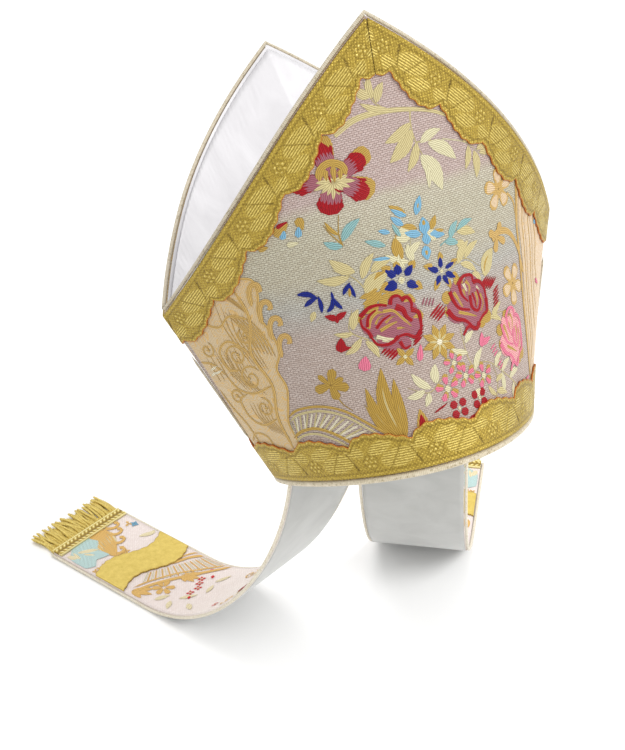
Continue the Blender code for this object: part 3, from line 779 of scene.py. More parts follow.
OUTLINES = {
    "leaf": lambda t: np.sin(math.pi * t**0.85) ** 0.9,
    "petal": lambda t: np.sqrt(np.clip(t, 0, 1)) * np.clip(1 - t**5, 0, 1) ** 0.5,
    "drop": lambda t: np.sin(math.pi * t**0.6) ** 0.8,
    "ribbon": lambda t: np.clip(np.minimum(t, 1 - t) * 12, 0.15, 1),
    "stem": lambda t: mix(1.0, 0.45, t),
    "disc": lambda t: np.sqrt(np.clip(1 - (2 * t - 1) ** 2, 0, 1)),
}

# A woven shape has a row of points every so many mm. Every other row is drawn in, for a jagged edge.
FLOAT_STEP = 1.3
FLOAT_COLUMNS = (-1.0, -0.5, 0.0, 0.5, 1.0)
FLOAT_JAG = 0.93
THINNEST = 0.05
LOW_LIFT = 0.00012
LAYER_LIFT = 0.00009
SHAPE_RELIEF = 0.00022


class Weaving:
    """Gathers the shapes that are woven onto one cloth and makes one piece of them."""

    def __init__(self):
        self.points, self.faces, self.colours, self.strands = [], [], [], []

    def shape(self, route, width, thread, outline="leaf", layer=0):
        """A filled shape along a route, in mm, with its greatest width. Higher layers lie on top."""
        middle, run = curve_through(route, FLOAT_STEP)
        ahead = np.gradient(middle, axis=0)
        ahead /= np.maximum(np.linalg.norm(ahead, axis=1), 1e-9)[:, None]
        aside = np.stack([-ahead[:, 1], ahead[:, 0]], 1)
        half = np.maximum(OUTLINES[outline](run / run[-1]) * width / 2, THINNEST)
        self.faces += grid_faces(len(middle), len(FLOAT_COLUMNS), len(self.points), True)
        for i, (centre, side, h) in enumerate(zip(middle, aside, half)):
            jag = 1.0 if i % 2 else FLOAT_JAG
            for c in FLOAT_COLUMNS:
                x, y = centre + side * (c * h * jag)
                raised = LOW_LIFT + layer * LAYER_LIFT + SHAPE_RELIEF * (1 - c * c) * min(1.0, h)
                self.points.append((x, y, raised))
                self.strands.append((run[i] * MM, c * h * MM))
        self.colours += [linear(THREADS[thread])] * (len(middle) * len(FLOAT_COLUMNS))

    def petals(self, centre, count, length, width, thread, turn=0.0, outline="petal", start=0.0, **extra):
        for k in range(count):
            way = towards(turn + 360 * k / count)
            inner, outer = np.array(centre) + way * start, np.array(centre) + way * length
            self.shape([inner, outer], width, thread, outline, **extra)

    def disc(self, centre, radius, thread, **extra):
        x, y = centre
        self.shape([(x - radius, y), (x + radius, y)], 2 * radius, thread, "disc", **extra)

    def spray(self, stem, leaves, thread, stem_thread=None, width=1.0):
        """A stem and its leaves. Each leaf is (foot, tip, width)."""
        self.shape(stem, width, stem_thread or thread, "stem")
        for foot, tip, broad in leaves:
            middle = (np.array(foot) + np.array(tip)) / 2
            way = np.array(tip) - np.array(foot)
            bend = middle + np.array((-way[1], way[0])) * 0.08
            self.shape([foot, bend, tip], broad * 1.2, thread, "leaf", layer=1)

    def hatch(self, corner, along, across, count, width, thread, **extra):
        """Short parallel strokes from a corner, set apart by across."""
        for k in range(count):
            foot = np.array(corner, float) + np.array(across, float) * k / max(count - 1, 1)
            self.shape([foot, foot + np.array(along)], width, thread, "leaf", layer=1, **extra)

    def finish(self, name, place, silk, flip=False):
        charted = np.array(self.points)
        flat = charted[:, :2] * MM
        points = place(*flat.T, charted[:, 2])
        faces = [face[::-1] for face in self.faces] if flip else self.faces
        maps, values = {"Strand": self.strands, "Flat": flat}, {"Thread": np.array(self.colours)}
        return make_piece(name, points, faces, [silk], maps, values, slot_name="brocade")


def five_petal_flower(w):
    """The large red flower: mauve petals hatched with crimson, a ragged straw star and a gold curl."""
    centre = np.array((-35.0, 183.0))
    for angle, length, width in ((104, 24, 17), (24, 23, 15), (-34, 24, 17), (-108, 21, 20), (176, 26, 15)):
        way = towards(angle)
        aside = np.array((-way[1], way[0]))
        if -40 < angle < 110:
            w.shape(
                [centre + way * 6 + (1.2, 1.2), centre + way * (length + 2) + (1.2, 1.2)], width + 1,
                "gold", "petal",
            )
        w.shape([centre, centre + way * length], width, "crimson", "petal", layer=1)
        w.shape([centre, centre + way * length * 0.74], width * 0.86, "mauve", "petal", layer=2)
        for spread in np.linspace(-1, 1, 7):
            tip = centre + way * (length * 0.90 - 2.5 * abs(spread)) + aside * spread * width * 0.38
            foot = centre + way * length * (0.50 + 0.08 * (abs(spread) > 0.5)) + aside * spread * width * 0.33
            w.shape([tip, foot], 2.0, "crimson", "drop", layer=3)
    for angle, length in (
        (150, 7), (172, 11), (192, 13), (212, 10), (235, 9), (258, 11), (282, 9), (305, 8), (328, 11),
        (348, 13), (10, 9),
    ):
        way = towards(angle)
        w.shape([centre + (0, -1), centre + (0, -1) + way * length], 3.4, "straw", "leaf", layer=4)
    w.shape([(-43, 184), (-42, 190), (-36, 193), (-29, 190), (-27, 184)], 4.6, "gold", "ribbon", layer=5)
    for tip, foot in (((-39, 190), (-39, 183)), ((-34, 191), (-34.5, 181)), ((-30, 188), (-31, 182))):
        w.shape([tip, foot], 3.6, "gold", "drop", layer=6)
    w.shape([(-37.5, 186), (-36.5, 181)], 1.2, "crimson", "leaf", layer=7)
    w.shape([(-35.5, 178), (-33, 175.5), (-30, 175)], 1.3, "crimson", "leaf", layer=7)


# Roses, charted from their hearts: discs as (x, y, radius), strokes as (route, width)
RED_ROSE = {
    "rim": [(0, 13, 5.5), (6, 14, 5.5), (12, 10, 5), (-10, 11, 5), (-16, 6, 4), (16, 0, 4)],
    "body": [
        (-11, 2, 8), (0, 4, 10), (8, 5, 9), (11, -5, 7), (-2, -8, 9), (5, -14, 4), (-14, 4, 5), (4, 12, 5),
    ],
    "edge": [
        ([(-18, 8), (-12, 12), (-6, 12.5), (-1, 11)], 2.4), ([(1, 11), (3, 15), (7, 15), (9, 12)], 2.2),
        ([(8, 12), (12, 13), (14, 9), (13, 5)], 2.4), ([(13, 5), (17, 2), (17, -5), (16, -9)], 2.6),
        ([(16, -9), (12, -12), (7, -9), (2, -9)], 2.4), ([(2, -9), (-4, -12), (-11, -11), (-14, -6)], 2.2),
        ([(-14, -6), (-15, -2), (-18, 2), (-18, 7)], 2.0), ([(2, -12), (4, -17), (8, -16)], 2.0),
        ([(-15, 1), (-13, 7), (-8, 10)], 1.8), ([(-10, -1), (-5, 3), (0, 5)], 1.6),
        ([(4, 9), (8, 6), (9, 2), (12, -2)], 3.4),
    ],
    "vein": [
        ([(-14.5, 0), (-12, 5), (-8, 8), (-4, 7.5)], 3.2), ([(-10, 1.5), (-7, 5), (-3, 6)], 2.2),
        ([(-4, 8), (2, 7), (6, 2), (11, -5)], 3.0), ([(-8, -3), (-2, -1), (3, 0)], 3.0),
        ([(-4, 1), (1, 3.5), (5, 3)], 2.2), ([(2, -4), (7, -5), (11, -8)], 1.8),
    ],
    "light": [([(-11, -6), (-6, -8.5), (-1, -10)], 3.0), ([(-8, -9), (-4, -11)], 1.6)],
}
TURNED_ROSE = {
    "rim": [(-13, 7, 4), (-13, -1, 4), (12, -11, 4.5), (-4, 13, 4), (7, -13, 4)],
    "body": [(0, 4, 10), (-8, -2, 8), (7, -1, 9), (1, -9, 8), (5, 10, 6), (-5, 9, 6), (10, 5, 5)],
    "edge": [
        ([(-15, 0), (-11, -6), (-5, -9), (-1, -13)], 2.8), ([(-11, 10), (-10, 5), (-7, -1), (0, -4)], 2.2),
        ([(-5, 12), (0, 16), (6, 15), (6, 11)], 2.4), ([(-4, 12), (-3.5, 6), (0, 1)], 1.8),
        ([(6, 11), (11, 10), (14, 5), (14, -1)], 2.4), ([(14, -1), (13, -8), (9, -10), (5, -13)], 2.4),
        ([(5, -13), (2, -16), (-3, -13), (-8, -17)], 2.6),
        ([(2, 4), (2, -3), (6, -6), (9, -1), (8, 6)], 2.0), ([(4, 5), (5, 0), (5, -4)], 1.4),
    ],
    "vein": [
        ([(-8.5, 9), (-6, 3), (-4.5, -1)], 3.2), ([(-8, -3), (-2, -6), (4, -9)], 3.0),
        ([(1, 13), (3, 9), (1, 4)], 2.6), ([(6.5, 5), (7, 0), (5, -4)], 2.4), ([(-2, 9), (-1, 4)], 2.4),
        ([(10, 3), (11, -3), (8, -7)], 2.0),
    ],
    "light": [([(-1, 12), (0.5, 7)], 2.2), ([(8, 8), (10, 5)], 1.4)],
}


def rose(w, centre, chart, edge, fill, vein, light, scale=(1.0, 1.0)):
    """A full rose from its chart: a lighter rim, the body, then edges, veins and lights stroke by stroke."""
    x, y = centre
    sx, sy = scale
    for layer, (part, thread) in enumerate((("rim", vein), ("body", fill))):
        for dx, dy, radius in chart[part]:
            w.disc((x + dx * sx, y + dy * sy), radius * min(scale), thread, layer=layer + 1)
    for layer, (part, thread, fuller) in enumerate(
        (("vein", vein, 1.0), ("light", light, 1.0), ("edge", edge, 1.25))
    ):
        for route, width in chart[part]:
            broad = width * min(scale) * fuller
            w.shape([(x + dx * sx, y + dy * sy) for dx, dy in route], broad, thread, "stem", layer=layer + 3)


def cobalt_flower(w, centre, petals, eye):
    """A blue star. Each petal is (foot, tip, width), from the middle, and shows gold round its tip."""
    x, y = centre
    for foot, tip, width in petals:
        way = np.array(tip) - np.array(foot)
        way = way / np.linalg.norm(way)
        a, b = np.array(foot) + (x, y), np.array(tip) + (x, y)
        w.shape([(a + b) / 2 + (0.7, 0.9), b + way * 2.4], width + 0.8, "gold", "drop", layer=1)
        w.shape([a, b], width, "cobalt", "drop", layer=2)
    w.disc(centre, eye, "cream", layer=3)
    w.disc(centre, eye * 0.5, "straw", layer=4)


def four_petal_flower(w, centre, radius, thread, heart, turn=45.0):
    w.petals(centre, 4, radius, radius * 0.95, thread, turn, "petal", start=radius * 0.12, layer=2)
    w.petals(centre, 4, radius * 0.42, radius * 0.3, heart, turn, "leaf", layer=3)


def scroll(w, centre, radius, turns, thread, width=1.3, turn=0.0, hand=1):
    """A coiled tendril that ends in a knob."""
    angles = np.linspace(0, turns * 2 * math.pi, int(10 * turns) + 4)
    shrink = np.linspace(1.0, 0.22, len(angles))
    route = [
        (
            centre[0] + radius * s * math.cos(math.radians(turn) + hand * a),
            centre[1] + radius * s * math.sin(math.radians(turn) + hand * a),
        )
        for a, s in zip(angles, shrink)
    ]
    w.shape(route, width, thread, "ribbon", layer=2)
    w.disc(route[-1], width * 1.1, thread, layer=3)


LEAF_SPRAYS = [
    # thread, stem thread, stem width, stem, leaves as (foot, tip, width)
    (
        "straw", "straw", 4.2, [(-30, 208), (-15, 214), (5, 214), (28, 209), (47, 200)],
        [((-20, 212), (-33, 220), 3), ((6, 214), (-12, 222), 4)],
    ),
    (
        "straw", "straw", 1.0, [(18, 212), (17, 202), (19, 190), (25, 176)],
        [((17, 204), (-1, 196), 6), ((17, 200), (0, 184), 8), ((19, 192), (10, 176), 5)],
    ),
    (
        "cream", "straw", 0.9, [(19, 192), (30, 190), (42, 180)],
        [
            ((21, 191), (36, 196), 5), ((26, 190), (44, 176), 7), ((20, 184), (31, 160), 9),
            ((22, 182), (22, 163), 4),
        ],
    ),
    (
        "straw", "cream", 0.9, [(36, 190), (52, 184), (66, 172)],
        [
            ((50, 185), (66, 184), 4), ((54, 182), (50, 168), 4), ((58, 178), (58, 161), 5),
            ((62, 176), (76, 172), 4), ((60, 178), (72, 180), 4),
        ],
    ),
    (
        "straw", "straw", 0.8, [(2, 216), (-4, 222), (-8, 234)],
        [((-5, 224), (-14, 232), 5), ((-4, 223), (-4, 237), 4), ((-2, 220), (4, 231), 5)],
    ),
    (
        "teal", "gold", 1.0, [(-37, 143), (-38, 151), (-36, 162)],
        [((-37, 146), (-24, 157), 5), ((-37, 143), (-48, 148), 4)],
    ),
    ("gold", "gold", 1.0, [(-37, 144), (-43, 152), (-46, 158)], [((-38, 150), (-45, 160), 2.4)]),
    (
        "straw", "straw", 1.0, [(-26, 108), (-34, 122), (-46, 130)],
        [
            ((-33, 126), (-47, 137), 6), ((-37, 124), (-57, 126), 5), ((-30, 121), (-20, 135), 5),
            ((-24, 124), (-10, 129), 5), ((-30, 112), (-14, 121), 9),
        ],
    ),
    ("gold", "straw", 0.8, [(-20, 111), (-26, 108), (-33, 104)], [((-20, 111), (-33, 106), 5)]),
    (
        "cream", "cream", 0.8, [(-4, 122), (-4, 128), (-3, 133)],
        [
            ((-4, 121), (-5, 133), 4), ((3, 124), (1, 135), 4.4), ((-3, 144), (6, 139), 5.5),
            ((14, 139), (20, 132), 5.5),
        ],
    ),
    (
        "cream", "cream", 0.9, [(-2, 118), (2, 130), (6, 146)],
        [((0, 124), (-14, 132), 4), ((1, 128), (10, 134), 4), ((4, 138), (-7, 141), 4)],
    ),
    ("gold", "straw", 0.9, [(-3, 124), (-5, 132), (-4, 141)], [((-4, 126), (-5, 142), 6)]),
    (
        "teal", "teal", 0.9, [(22, 128), (34, 133), (46, 138)],
        [((30, 130), (38, 140), 4), ((36, 134), (50, 138), 3.5), ((26, 129), (36, 126), 4)],
    ),
    (
        "straw", "straw", 0.9, [(24, 112), (38, 116), (50, 108)],
        [((32, 114), (44, 126), 5), ((38, 116), (52, 124), 4), ((34, 114), (46, 106), 4)],
    ),
    (
        "straw", "cream", 0.9, [(36, 104), (46, 104), (54, 102)],
        [
            ((52, 101), (65, 116), 9), ((42, 106), (48, 98), 5), ((34, 126), (41, 123), 5),
            ((36, 133), (51, 129), 5),
        ],
    ),
    ("gold", "straw", 0.8, [(52, 102), (57, 108), (62, 114)], [((52, 103), (61, 114), 4)]),
    (
        "cream", "straw", 1.1, [(27, 22), (30, 40), (25, 58), (24, 76)],
        [
            ((28, 48), (38, 60), 4), ((26, 60), (14, 66), 3.5), ((25, 66), (34, 72), 3.5),
            ((30, 36), (20, 34), 4),
        ],
    ),
    (
        "cream", "straw", 1.0, [(74, 22), (58, 36), (40, 50), (22, 52)],
        [
            ((60, 34), (74, 36), 4), ((52, 40), (50, 26), 4), ((64, 30), (60, 20), 4),
            ((46, 45), (56, 52), 4), ((52, 40), (64, 46), 3.5),
        ],
    ),
    (
        "straw", "straw", 0.9, [(40, 24), (46, 36), (44, 48)],
        [((43, 30), (54, 26), 4), ((44, 36), (54, 38), 3), ((42, 28), (36, 36), 3)],
    ),
    (
        "cream", "straw", 0.8, [(4, 50), (-6, 44), (-18, 50)],
        [
            ((-4, 46), (-14, 58), 4.5), ((-8, 46), (-20, 44), 4), ((0, 48), (2, 60), 5),
            ((-6, 44), (-10, 36), 3.5),
        ],
    ),
    (
        "straw", "straw", 0.8, [(50, 74), (60, 76), (70, 74)],
        [((52, 74), (64, 82), 4), ((50, 76), (62, 70), 3)],
    ),
    (
        "straw", "straw", 0.9, [(-34, 84), (-44, 92), (-40, 104)],
        [
            ((-38, 86), (-50, 78), 4), ((-42, 92), (-36, 104), 5), ((-42, 90), (-54, 92), 3),
            ((-36, 84), (-30, 72), 4),
        ],
    ),
    (
        "gold", "gold", 0.8, [(-24, 118), (-20, 112), (-26, 104)],
        [((-22, 114), (-34, 110), 4), ((-24, 118), (-16, 122), 4)],
    ),
]


def posy(w):
    """The main bunch of flowers, with its leaf sprays."""
    for thread, stem_thread, width, stem, leaves in LEAF_SPRAYS:
        w.spray(stem, leaves, thread, stem_thread, width)
    five_petal_flower(w)
    rose(w, (-18, 91), RED_ROSE, "crimson", "mauve", "gold", "cream")
    rose(w, (34, 89), TURNED_ROSE, "crimson", "mauve", "gold", "cream", (1.1, 1.05))
    rose(w, (71, 57), TURNED_ROSE, "rose", "pale_rose", "gold", "pale_rose", (1.0, 1.15))
    first = (
        ((-1, 3.5), (-1, 11), 5.4), ((3, 2), (9, 8), 4.8), ((3, -2), (10, -7), 5.4),
        ((-3, -1), (-12, -3), 6.8), ((-3, 3), (-9, 9), 5.0),
    )
    cobalt_flower(w, (-7, 114.5), first, 2.3)
    second = (
        ((0, 2), (1, 9.5), 3.4), ((3, 1), (11, 3.5), 2.8), ((2.5, -1.5), (9.5, -6.5), 4.0),
        ((0.5, -2.5), (3.5, -10), 3.2), ((-1.5, -2), (-6, -8.5), 3.4), ((-2, 0.5), (-9.5, 5), 4.0),
    )
    cobalt_flower(w, (19.5, 113), second, 1.5)
    for route, width in (
        ([(-71, 120), (-64, 119), (-58, 115)], 3.6),
        ([(-68, 112), (-62, 115), (-58, 116)], 3.2),
        ([(-58, 106), (-57.5, 111), (-58, 117)], 3.0),
        ([(-55, 106), (-51, 109), (-49.5, 115)], 3.0),
        ([(-45, 106), (-48, 110), (-50, 115)], 3.0),
        ([(-43, 114), (-41, 117), (-37, 121)], 2.8),
        ([(-36, 111), (-37, 115), (-38.5, 121)], 2.6),
        ([(-49.5, 112), (-49.5, 118)], 2.0),
    ):
        w.shape(route, width, "cobalt", "leaf", layer=2)
    w.shape([(-39.5, 112), (-38, 118)], 1.8, "gold", "leaf", layer=3)
    w.shape([(-62, 108), (-66, 102)], 4, "straw", "leaf", layer=1)
    # Small blossoms in crimson and rose
    for route, width, thread in (
        ([(-50, 101), (-57, 104)], 4.2, "crimson"),
        ([(-50, 101), (-43, 104)], 4.2, "crimson"),
        ([(-50, 103), (-50, 98)], 4.6, "crimson"),
        ([(-52, 80), (-50, 89)], 7.0, "crimson"),
        ([(-52, 82), (-45, 82)], 3.0, "crimson"),
        ([(-41, 66), (-38, 75)], 8.0, "rose"),
        ([(-7, 64), (-4, 74)], 4.0, "rose"),
        ([(38, 60), (40, 69)], 5.0, "rose"),
        ([(39, 62), (47, 64)], 4.4, "rose"),
        ([(-14.5, 22), (-14, 33)], 4.6, "crimson"),
    ):
        w.shape(route, width, thread, "drop", layer=3)
    w.hatch((-29, 74), (9, 6), (5, -5), 5, 1.6, "crimson")
    w.hatch((-9, 74), (8, 5), (2, 6), 4, 1.6, "crimson")
    w.hatch((5, 88), (10, 7), (4, -4), 4, 1.5, "crimson")
    w.hatch((45, 95), (10, 6), (9, -3), 6, 1.5, "crimson")
    w.hatch((55, 80), (8, 4), (2, 9), 5, 1.5, "crimson")
    w.hatch((50, 42), (6, 3), (-5, 14), 7, 1.3, "rose")
    w.hatch((-6, 31), (7, 3), (3, 1), 4, 1.2, "crimson")
    w.hatch((2, 96), (3, 5), (6, -2), 4, 1.2, "mauve")
    # Gold flower below the roses, and the bud beside it
    w.petals((8, 72), 8, 11.5, 5.2, "gold", 10, "leaf", layer=2)
    w.petals((8, 72), 8, 7.0, 2.0, "straw", 32, "leaf", layer=3)
    w.disc((8, 72), 2.2, "ivory", layer=4)
    w.petals((-15, 69), 4, 7.5, 4.0, "gold", 30, "leaf", layer=2)
    w.disc((-15, 69), 1.6, "cream", layer=3)
    # Sky blue blossoms, edged with gold
    for foot, tip, width, thread in (
        ((4, 152), (-6, 160), 4.4, "gold"),
        ((4, 151), (-5, 157.5), 4.4, "sky"),
        ((1, 146), (-6, 153), 4.2, "sky"),
        ((10, 150), (15, 161), 5.2, "sky"),
        ((-8, 144), (-15, 147), 3.4, "sky"),
        ((-2, 140), (-6, 149), 3.2, "teal"),
        ((9, 142), (-1, 146), 5.0, "gold"),
        ((11, 138), (0, 142), 5.4, "sky"),
        ((14, 137), (14, 148), 7.4, "sky"),
        ((18, 139), (23, 147), 4.4, "gold"),
        ((17, 136), (27, 137), 4.6, "gold"),
        ((16, 137), (27, 134), 5.2, "sky"),
        ((14, 131), (14, 139), 6.4, "sky"),
        ((12, 131), (12, 122), 6.6, "sky"),
        ((-10, 129), (-22, 131), 2.6, "sky"),
        ((-12, 137), (-24, 143), 4.2, "teal"),
    ):
        w.shape([foot, tip], width, thread, "leaf", layer=1 if thread == "gold" else 2)
    for foot, tip, width in (
        ((11.5, 153), (13.5, 158), 1.8), ((14, 142), (14, 147), 3.0), ((12, 129), (12, 124), 2.6),
    ):
        w.shape([foot, tip], width, "gold", "leaf", layer=3)
    # Clusters at the foot of the bunch
    for centre, radius in (((14, 57), 7.2), ((6, 43), 8.2), ((20, 47), 7.6), ((34, 43), 7.8)):
        behind = (centre[0] + 0.8, centre[1] + 1.4)
        w.petals(behind, 5, radius, radius * 0.62, "gold", 24, "petal", start=radius * 0.35, layer=1)
        w.petals(centre, 5, radius, radius * 0.62, "rose", 20, "petal", start=radius * 0.30, layer=2)
        w.disc(centre, radius * 0.26, "cream", layer=3)
    for centre in ((10.5, 29.5), (26.5, 31)):
        for dx, dy in ((3.2, 3.0), (-3.2, 3.0), (-3.2, -3.0), (3.2, -3.0)):
            w.disc((centre[0] + dx, centre[1] + dy), 2.7, "crimson", layer=2)
        w.disc(centre, 1.3, "cream", layer=3)
    w.shape([(-14.5, 20), (-14, 28), (-14, 36)], 8.0, "gold", "drop", layer=1)
    w.hatch((14, 20), (5, 3), (6, 1), 4, 1.2, "crimson")
    # Small bird-like bud at the upper left
    for route, width, thread in (
        ([(-76, 158), (-66, 164)], 7.0, "gold"),
        ([(-60, 166), (-58, 158)], 6.0, "gold"),
        ([(-74, 162), (-66, 165)], 3.6, "crimson"),
        ([(-72, 155), (-69, 161)], 4.6, "sky"),
        ([(-62, 154), (-60, 161)], 4.4, "sky"),
        ([(-70, 151), (-62, 151)], 3.6, "cream"),
        ([(-88, 154), (-84, 159)], 5.0, "sky"),
        ([(-88, 152), (-81, 152)], 4.0, "gold"),
    ):
        w.shape(route, width, thread, "drop", layer=2)


def gold_work(w):
    """The ochre leaves, gold flowers and the ribbed ribbon at the foot of the cloth."""
    for foot, middle, tip, width in (
        ((-26, 20), (-26, 42), (-25, 58), 8),
        ((-28, 20), (-33, 45), (-31, 66), 11),
        ((-30, 20), (-40, 38), (-43, 56), 8),
        ((-32, 22), (-40, 30), (-46, 46), 3),
    ):
        w.shape([foot, middle, tip], width, "ochre", "leaf", layer=1)
        w.shape([foot, middle, tip], width * 0.16, "straw", "leaf", layer=2)
    middle = np.array((-64, 61))
    for angle, length, width in (
        (68, 11, 8), (-15, 12, 8), (130, 10, 5), (190, 11, 8), (-75, 10, 8), (20, 10, 5),
    ):
        w.shape([middle, middle + towards(angle) * length], width, "ochre", "petal", layer=1)
    w.shape([(-62, 54), (-59, 48), (-54, 43)], 1.0, "ochre", "stem")
    for route, width, thread in (
        ([(-101, 43), (-92, 48), (-76, 49), (-60, 44), (-46, 33), (-32, 21)], 1.6, "gold"),
        ([(-101, 40), (-92, 45), (-76, 46), (-61, 41), (-48, 31), (-36, 20)], 1.4, "straw"),
        ([(-101, 30), (-93, 34), (-82, 35), (-70, 30), (-58, 21)], 2.0, "gold"),
        ([(-101, 27), (-93, 31), (-83, 31.5), (-72, 27), (-62, 20)], 1.4, "straw"),
    ):
        w.shape(route, width, thread, "ribbon", layer=3)
    outer, _ = curve_through([(-99, 41), (-91, 45), (-76, 45), (-62, 40), (-50, 31), (-39, 21)], 3.0)
    inner, _ = curve_through([(-99, 30), (-92, 33), (-82, 33.5), (-73, 30), (-65, 24), (-60, 20)], 3.0)
    count = 24
    for k in range(count):
        a = outer[min(len(outer) - 1, int(k * len(outer) / count))]
        b = inner[min(len(inner) - 1, int(k * len(inner) / count))]
        w.shape([a, b], 1.1, "ivory" if k % 2 else "straw", "ribbon", layer=2)
    # Gold flowers and the long gold scroll on the right
    for centre, turn in (((77, 150), 20), ((82, 89), 50)):
        w.petals(centre, 5, 14, 11, "amber", turn, "petal", layer=1)
        w.petals(centre, 5, 12.4, 8.6, "blush", turn, "petal", start=3.0, layer=2)
        w.petals(centre, 5, 9, 1.2, "amber", turn, "leaf", layer=3)
    w.shape([(66, 121), (76, 124), (88, 120), (97, 108), (101, 92)], 5.0, "amber", "stem", layer=1)
    w.petals((72, 121), 4, 10, 7, "amber", 60, "petal", layer=2)
    w.shape([(86, 146), (94, 138), (98, 124), (100, 108)], 1.6, "amber", "stem", layer=1)


# The scalloped lines, from the galloon down to the rim, beyond which the damask shows
PANEL_EDGE_LEFT = [
    (-118, 142), (-106, 137), (-97, 134), (-96, 124), (-99, 112), (-93, 98), (-92, 86), (-97, 76),
    (-94, 64), (-97, 52), (-101, 40), (-99, 28), (-103, 18),
]
PANEL_EDGE_RIGHT = [
    (96, 164), (97, 150), (100, 136), (102, 118), (102, 100), (100, 84), (97, 66), (98, 46), (101, 30),
    (104, 18),
]


def damask_ground(panel, side, damask):
    """The damask that fills the cloth beyond a scalloped line, out to the side seam, a piece of its own."""
    chart = PANEL_EDGE_RIGHT if panel.face == FRONT and side == RIGHT else PANEL_EDGE_LEFT
    edge, _ = curve_through(chart, 2.5)
    edge = edge[np.argsort(edge[:, 1])]
    limit = panel.seam_at(edge[:, 1] * MM) / MM - 0.15
    columns = np.linspace(0, 1, 14)
    across = side * mix(np.minimum(np.abs(edge[:, :1]), limit[:, None]), limit[:, None], columns)
    up = np.repeat(edge[:, 1:], len(columns), 1)
    flat = np.stack([across, up], 2).reshape(-1, 2) * MM
    points = panel.place(flat[:, 0], flat[:, 1], np.full(len(flat), LOW_LIFT * 0.7))
    name = f"{panel.name}_{SIDE_NAMES[side]}_damask"
    faces = grid_faces(*across.shape, 0, side * panel.face > 0)
    return make_piece(name, points, faces, [damask], {"Flat": flat}, slot_name="brocade")


def arabesque(w, side=-1):
    """Gold tendrils, feathered leaves and scallops over the peach ground."""
    m = side / -1

    def at(*points):
        return [(m * x, y) for x, y in points]

    edge = at(*PANEL_EDGE_LEFT)
    w.shape(edge, 1.6, "amber", "ribbon", layer=2)
    for route, width in (
        (at((-104, 20), (-108, 44), (-104, 66), (-112, 88), (-106, 110), (-112, 132)), 2.2),
        (at((-112, 88), (-126, 98), (-136, 92), (-134, 80), (-124, 78)), 1.6),
        (at((-104, 66), (-120, 62), (-132, 66), (-138, 76)), 1.5),
        (at((-108, 44), (-122, 40), (-132, 46), (-134, 58), (-126, 62)), 1.5),
        (at((-106, 110), (-120, 114), (-130, 108), (-142, 112)), 1.5),
        (at((-138, 76), (-146, 84), (-156, 86)), 1.4),
        (at((-134, 24), (-138, 40), (-146, 54), (-150, 66)), 1.5),
        (at((-120, 22), (-124, 32), (-134, 34), (-142, 28)), 1.4),
    ):
        w.shape(route, width, "amber", "ribbon", layer=2)
    for centre, radius, turns, turn, hand in (
        ((-118, 72), 9, 1.4, 30, 1),
        ((-124, 88), 8, 1.5, 200, -1),
        ((-116, 52), 7, 1.3, 90, -1),
        ((-136, 60), 6, 1.2, 0, 1),
        ((-112, 100), 6, 1.3, 120, 1),
        ((-146, 94), 6, 1.2, 60, -1),
    ):
        way, coil = (turn, hand) if m > 0 else (180 - turn, -hand)
        scroll(w, (m * centre[0], centre[1]), radius, turns, "amber", 1.3, way, coil)
    # Plumes of fine lines
    for k in range(6):
        for route, width in (
            (at((-103 - 2.2 * k, 76 + k), (-108 - 3.4 * k, 94 + 2 * k), (-106 - 4.4 * k, 113 + 2 * k)), 0.9),
            (at((-110 - 3 * k, 60 + k), (-121 - 3 * k, 72 + 2 * k), (-125 - 3 * k, 90 + k)), 0.8),
            (at((-104 - 2.4 * k, 30 + k), (-112 - 2.6 * k, 42 + k), (-112 - 3 * k, 56)), 0.8),
        ):
            w.shape(route, width, "amber", "leaf", layer=1)
    for k in range(9):
        foot = (m * (-105 - k * 1.6), 112 + k * 1.6)
        w.shape([foot, (foot[0] + m * (-9 - k * 0.6), foot[1] + 13 + k * 0.4)], 1.0, "amber", "leaf", layer=1)
    for k in range(7):
        foot = (m * (-120 - k * 4.2), 76 - k * 0.8)
        w.shape([foot, (foot[0] - m * 4, foot[1] + 18)], 0.9, "amber", "leaf", layer=1)
    for x, y in ((-99, 126), (-95, 114), (-91, 103), (-88, 91)):
        hook = ((-3, -8), (-2.5, 0), (0.5, 5), (4.5, 5), (5.5, 1.5), (3, 0.5))
        w.shape(at(*((x + dx, y + dy) for dx, dy in hook)), 3.6, "amber", "ribbon", layer=3)
    for k in range(6):
        plume = at((-95 - k * 2.4, 84 + k), (-99 - k * 2.6, 98 + k), (-107 - k * 3.0, 112 + k))
        w.shape(plume, 1.4, "amber", "leaf", layer=2)
    for x, y in ((-150, 80), (-147, 77), (-152, 76)):
        w.shape([(m * x, y), (m * (x + 8), y + 3)], 1.4, "ivory", "leaf", layer=3)


def ribbon_streams(w):
    """Long bands of straw, blush and gold that fall down the right of the cloth."""
    for x, width, thread in (
        (98, 3.0, "amber"), (103, 2.4, "blush"), (107, 1.2, "amber"), (112, 3.2, "blush"),
        (118, 1.2, "amber"), (124, 3.4, "blush"), (130, 1.2, "amber"),
    ):
        top, foot = 172 - (x - 96) * 1.4, 18 + max(0, x - 104) * 2.2
        upper, lower = top * 0.66 + foot * 0.34, top * 0.33 + foot * 0.67
        route = [(x - 3, top), (x + 1, upper), (x - 2, lower), (x + 2, foot)]
        w.shape(route, width, thread, "ribbon", layer=1)
    w.shape([(128, 119), (136, 119)], 3.6, "sky", "leaf", layer=3)
    w.shape([(126, 82), (134, 78)], 3.6, "rose", "drop", layer=3)
    w.shape([(84, 24), (96, 26)], 3.0, "rose", "drop", layer=3)


# Hat

def seam_rows(low_rows, high_rows):
    low = np.linspace(0, SHOULDER_HEIGHT, low_rows, endpoint=False)
    share = 1 - (1 - np.linspace(0, 1, high_rows)) ** 1.15
    return np.concatenate([low, mix(SHOULDER_HEIGHT, PEAK_HEIGHT, share)])


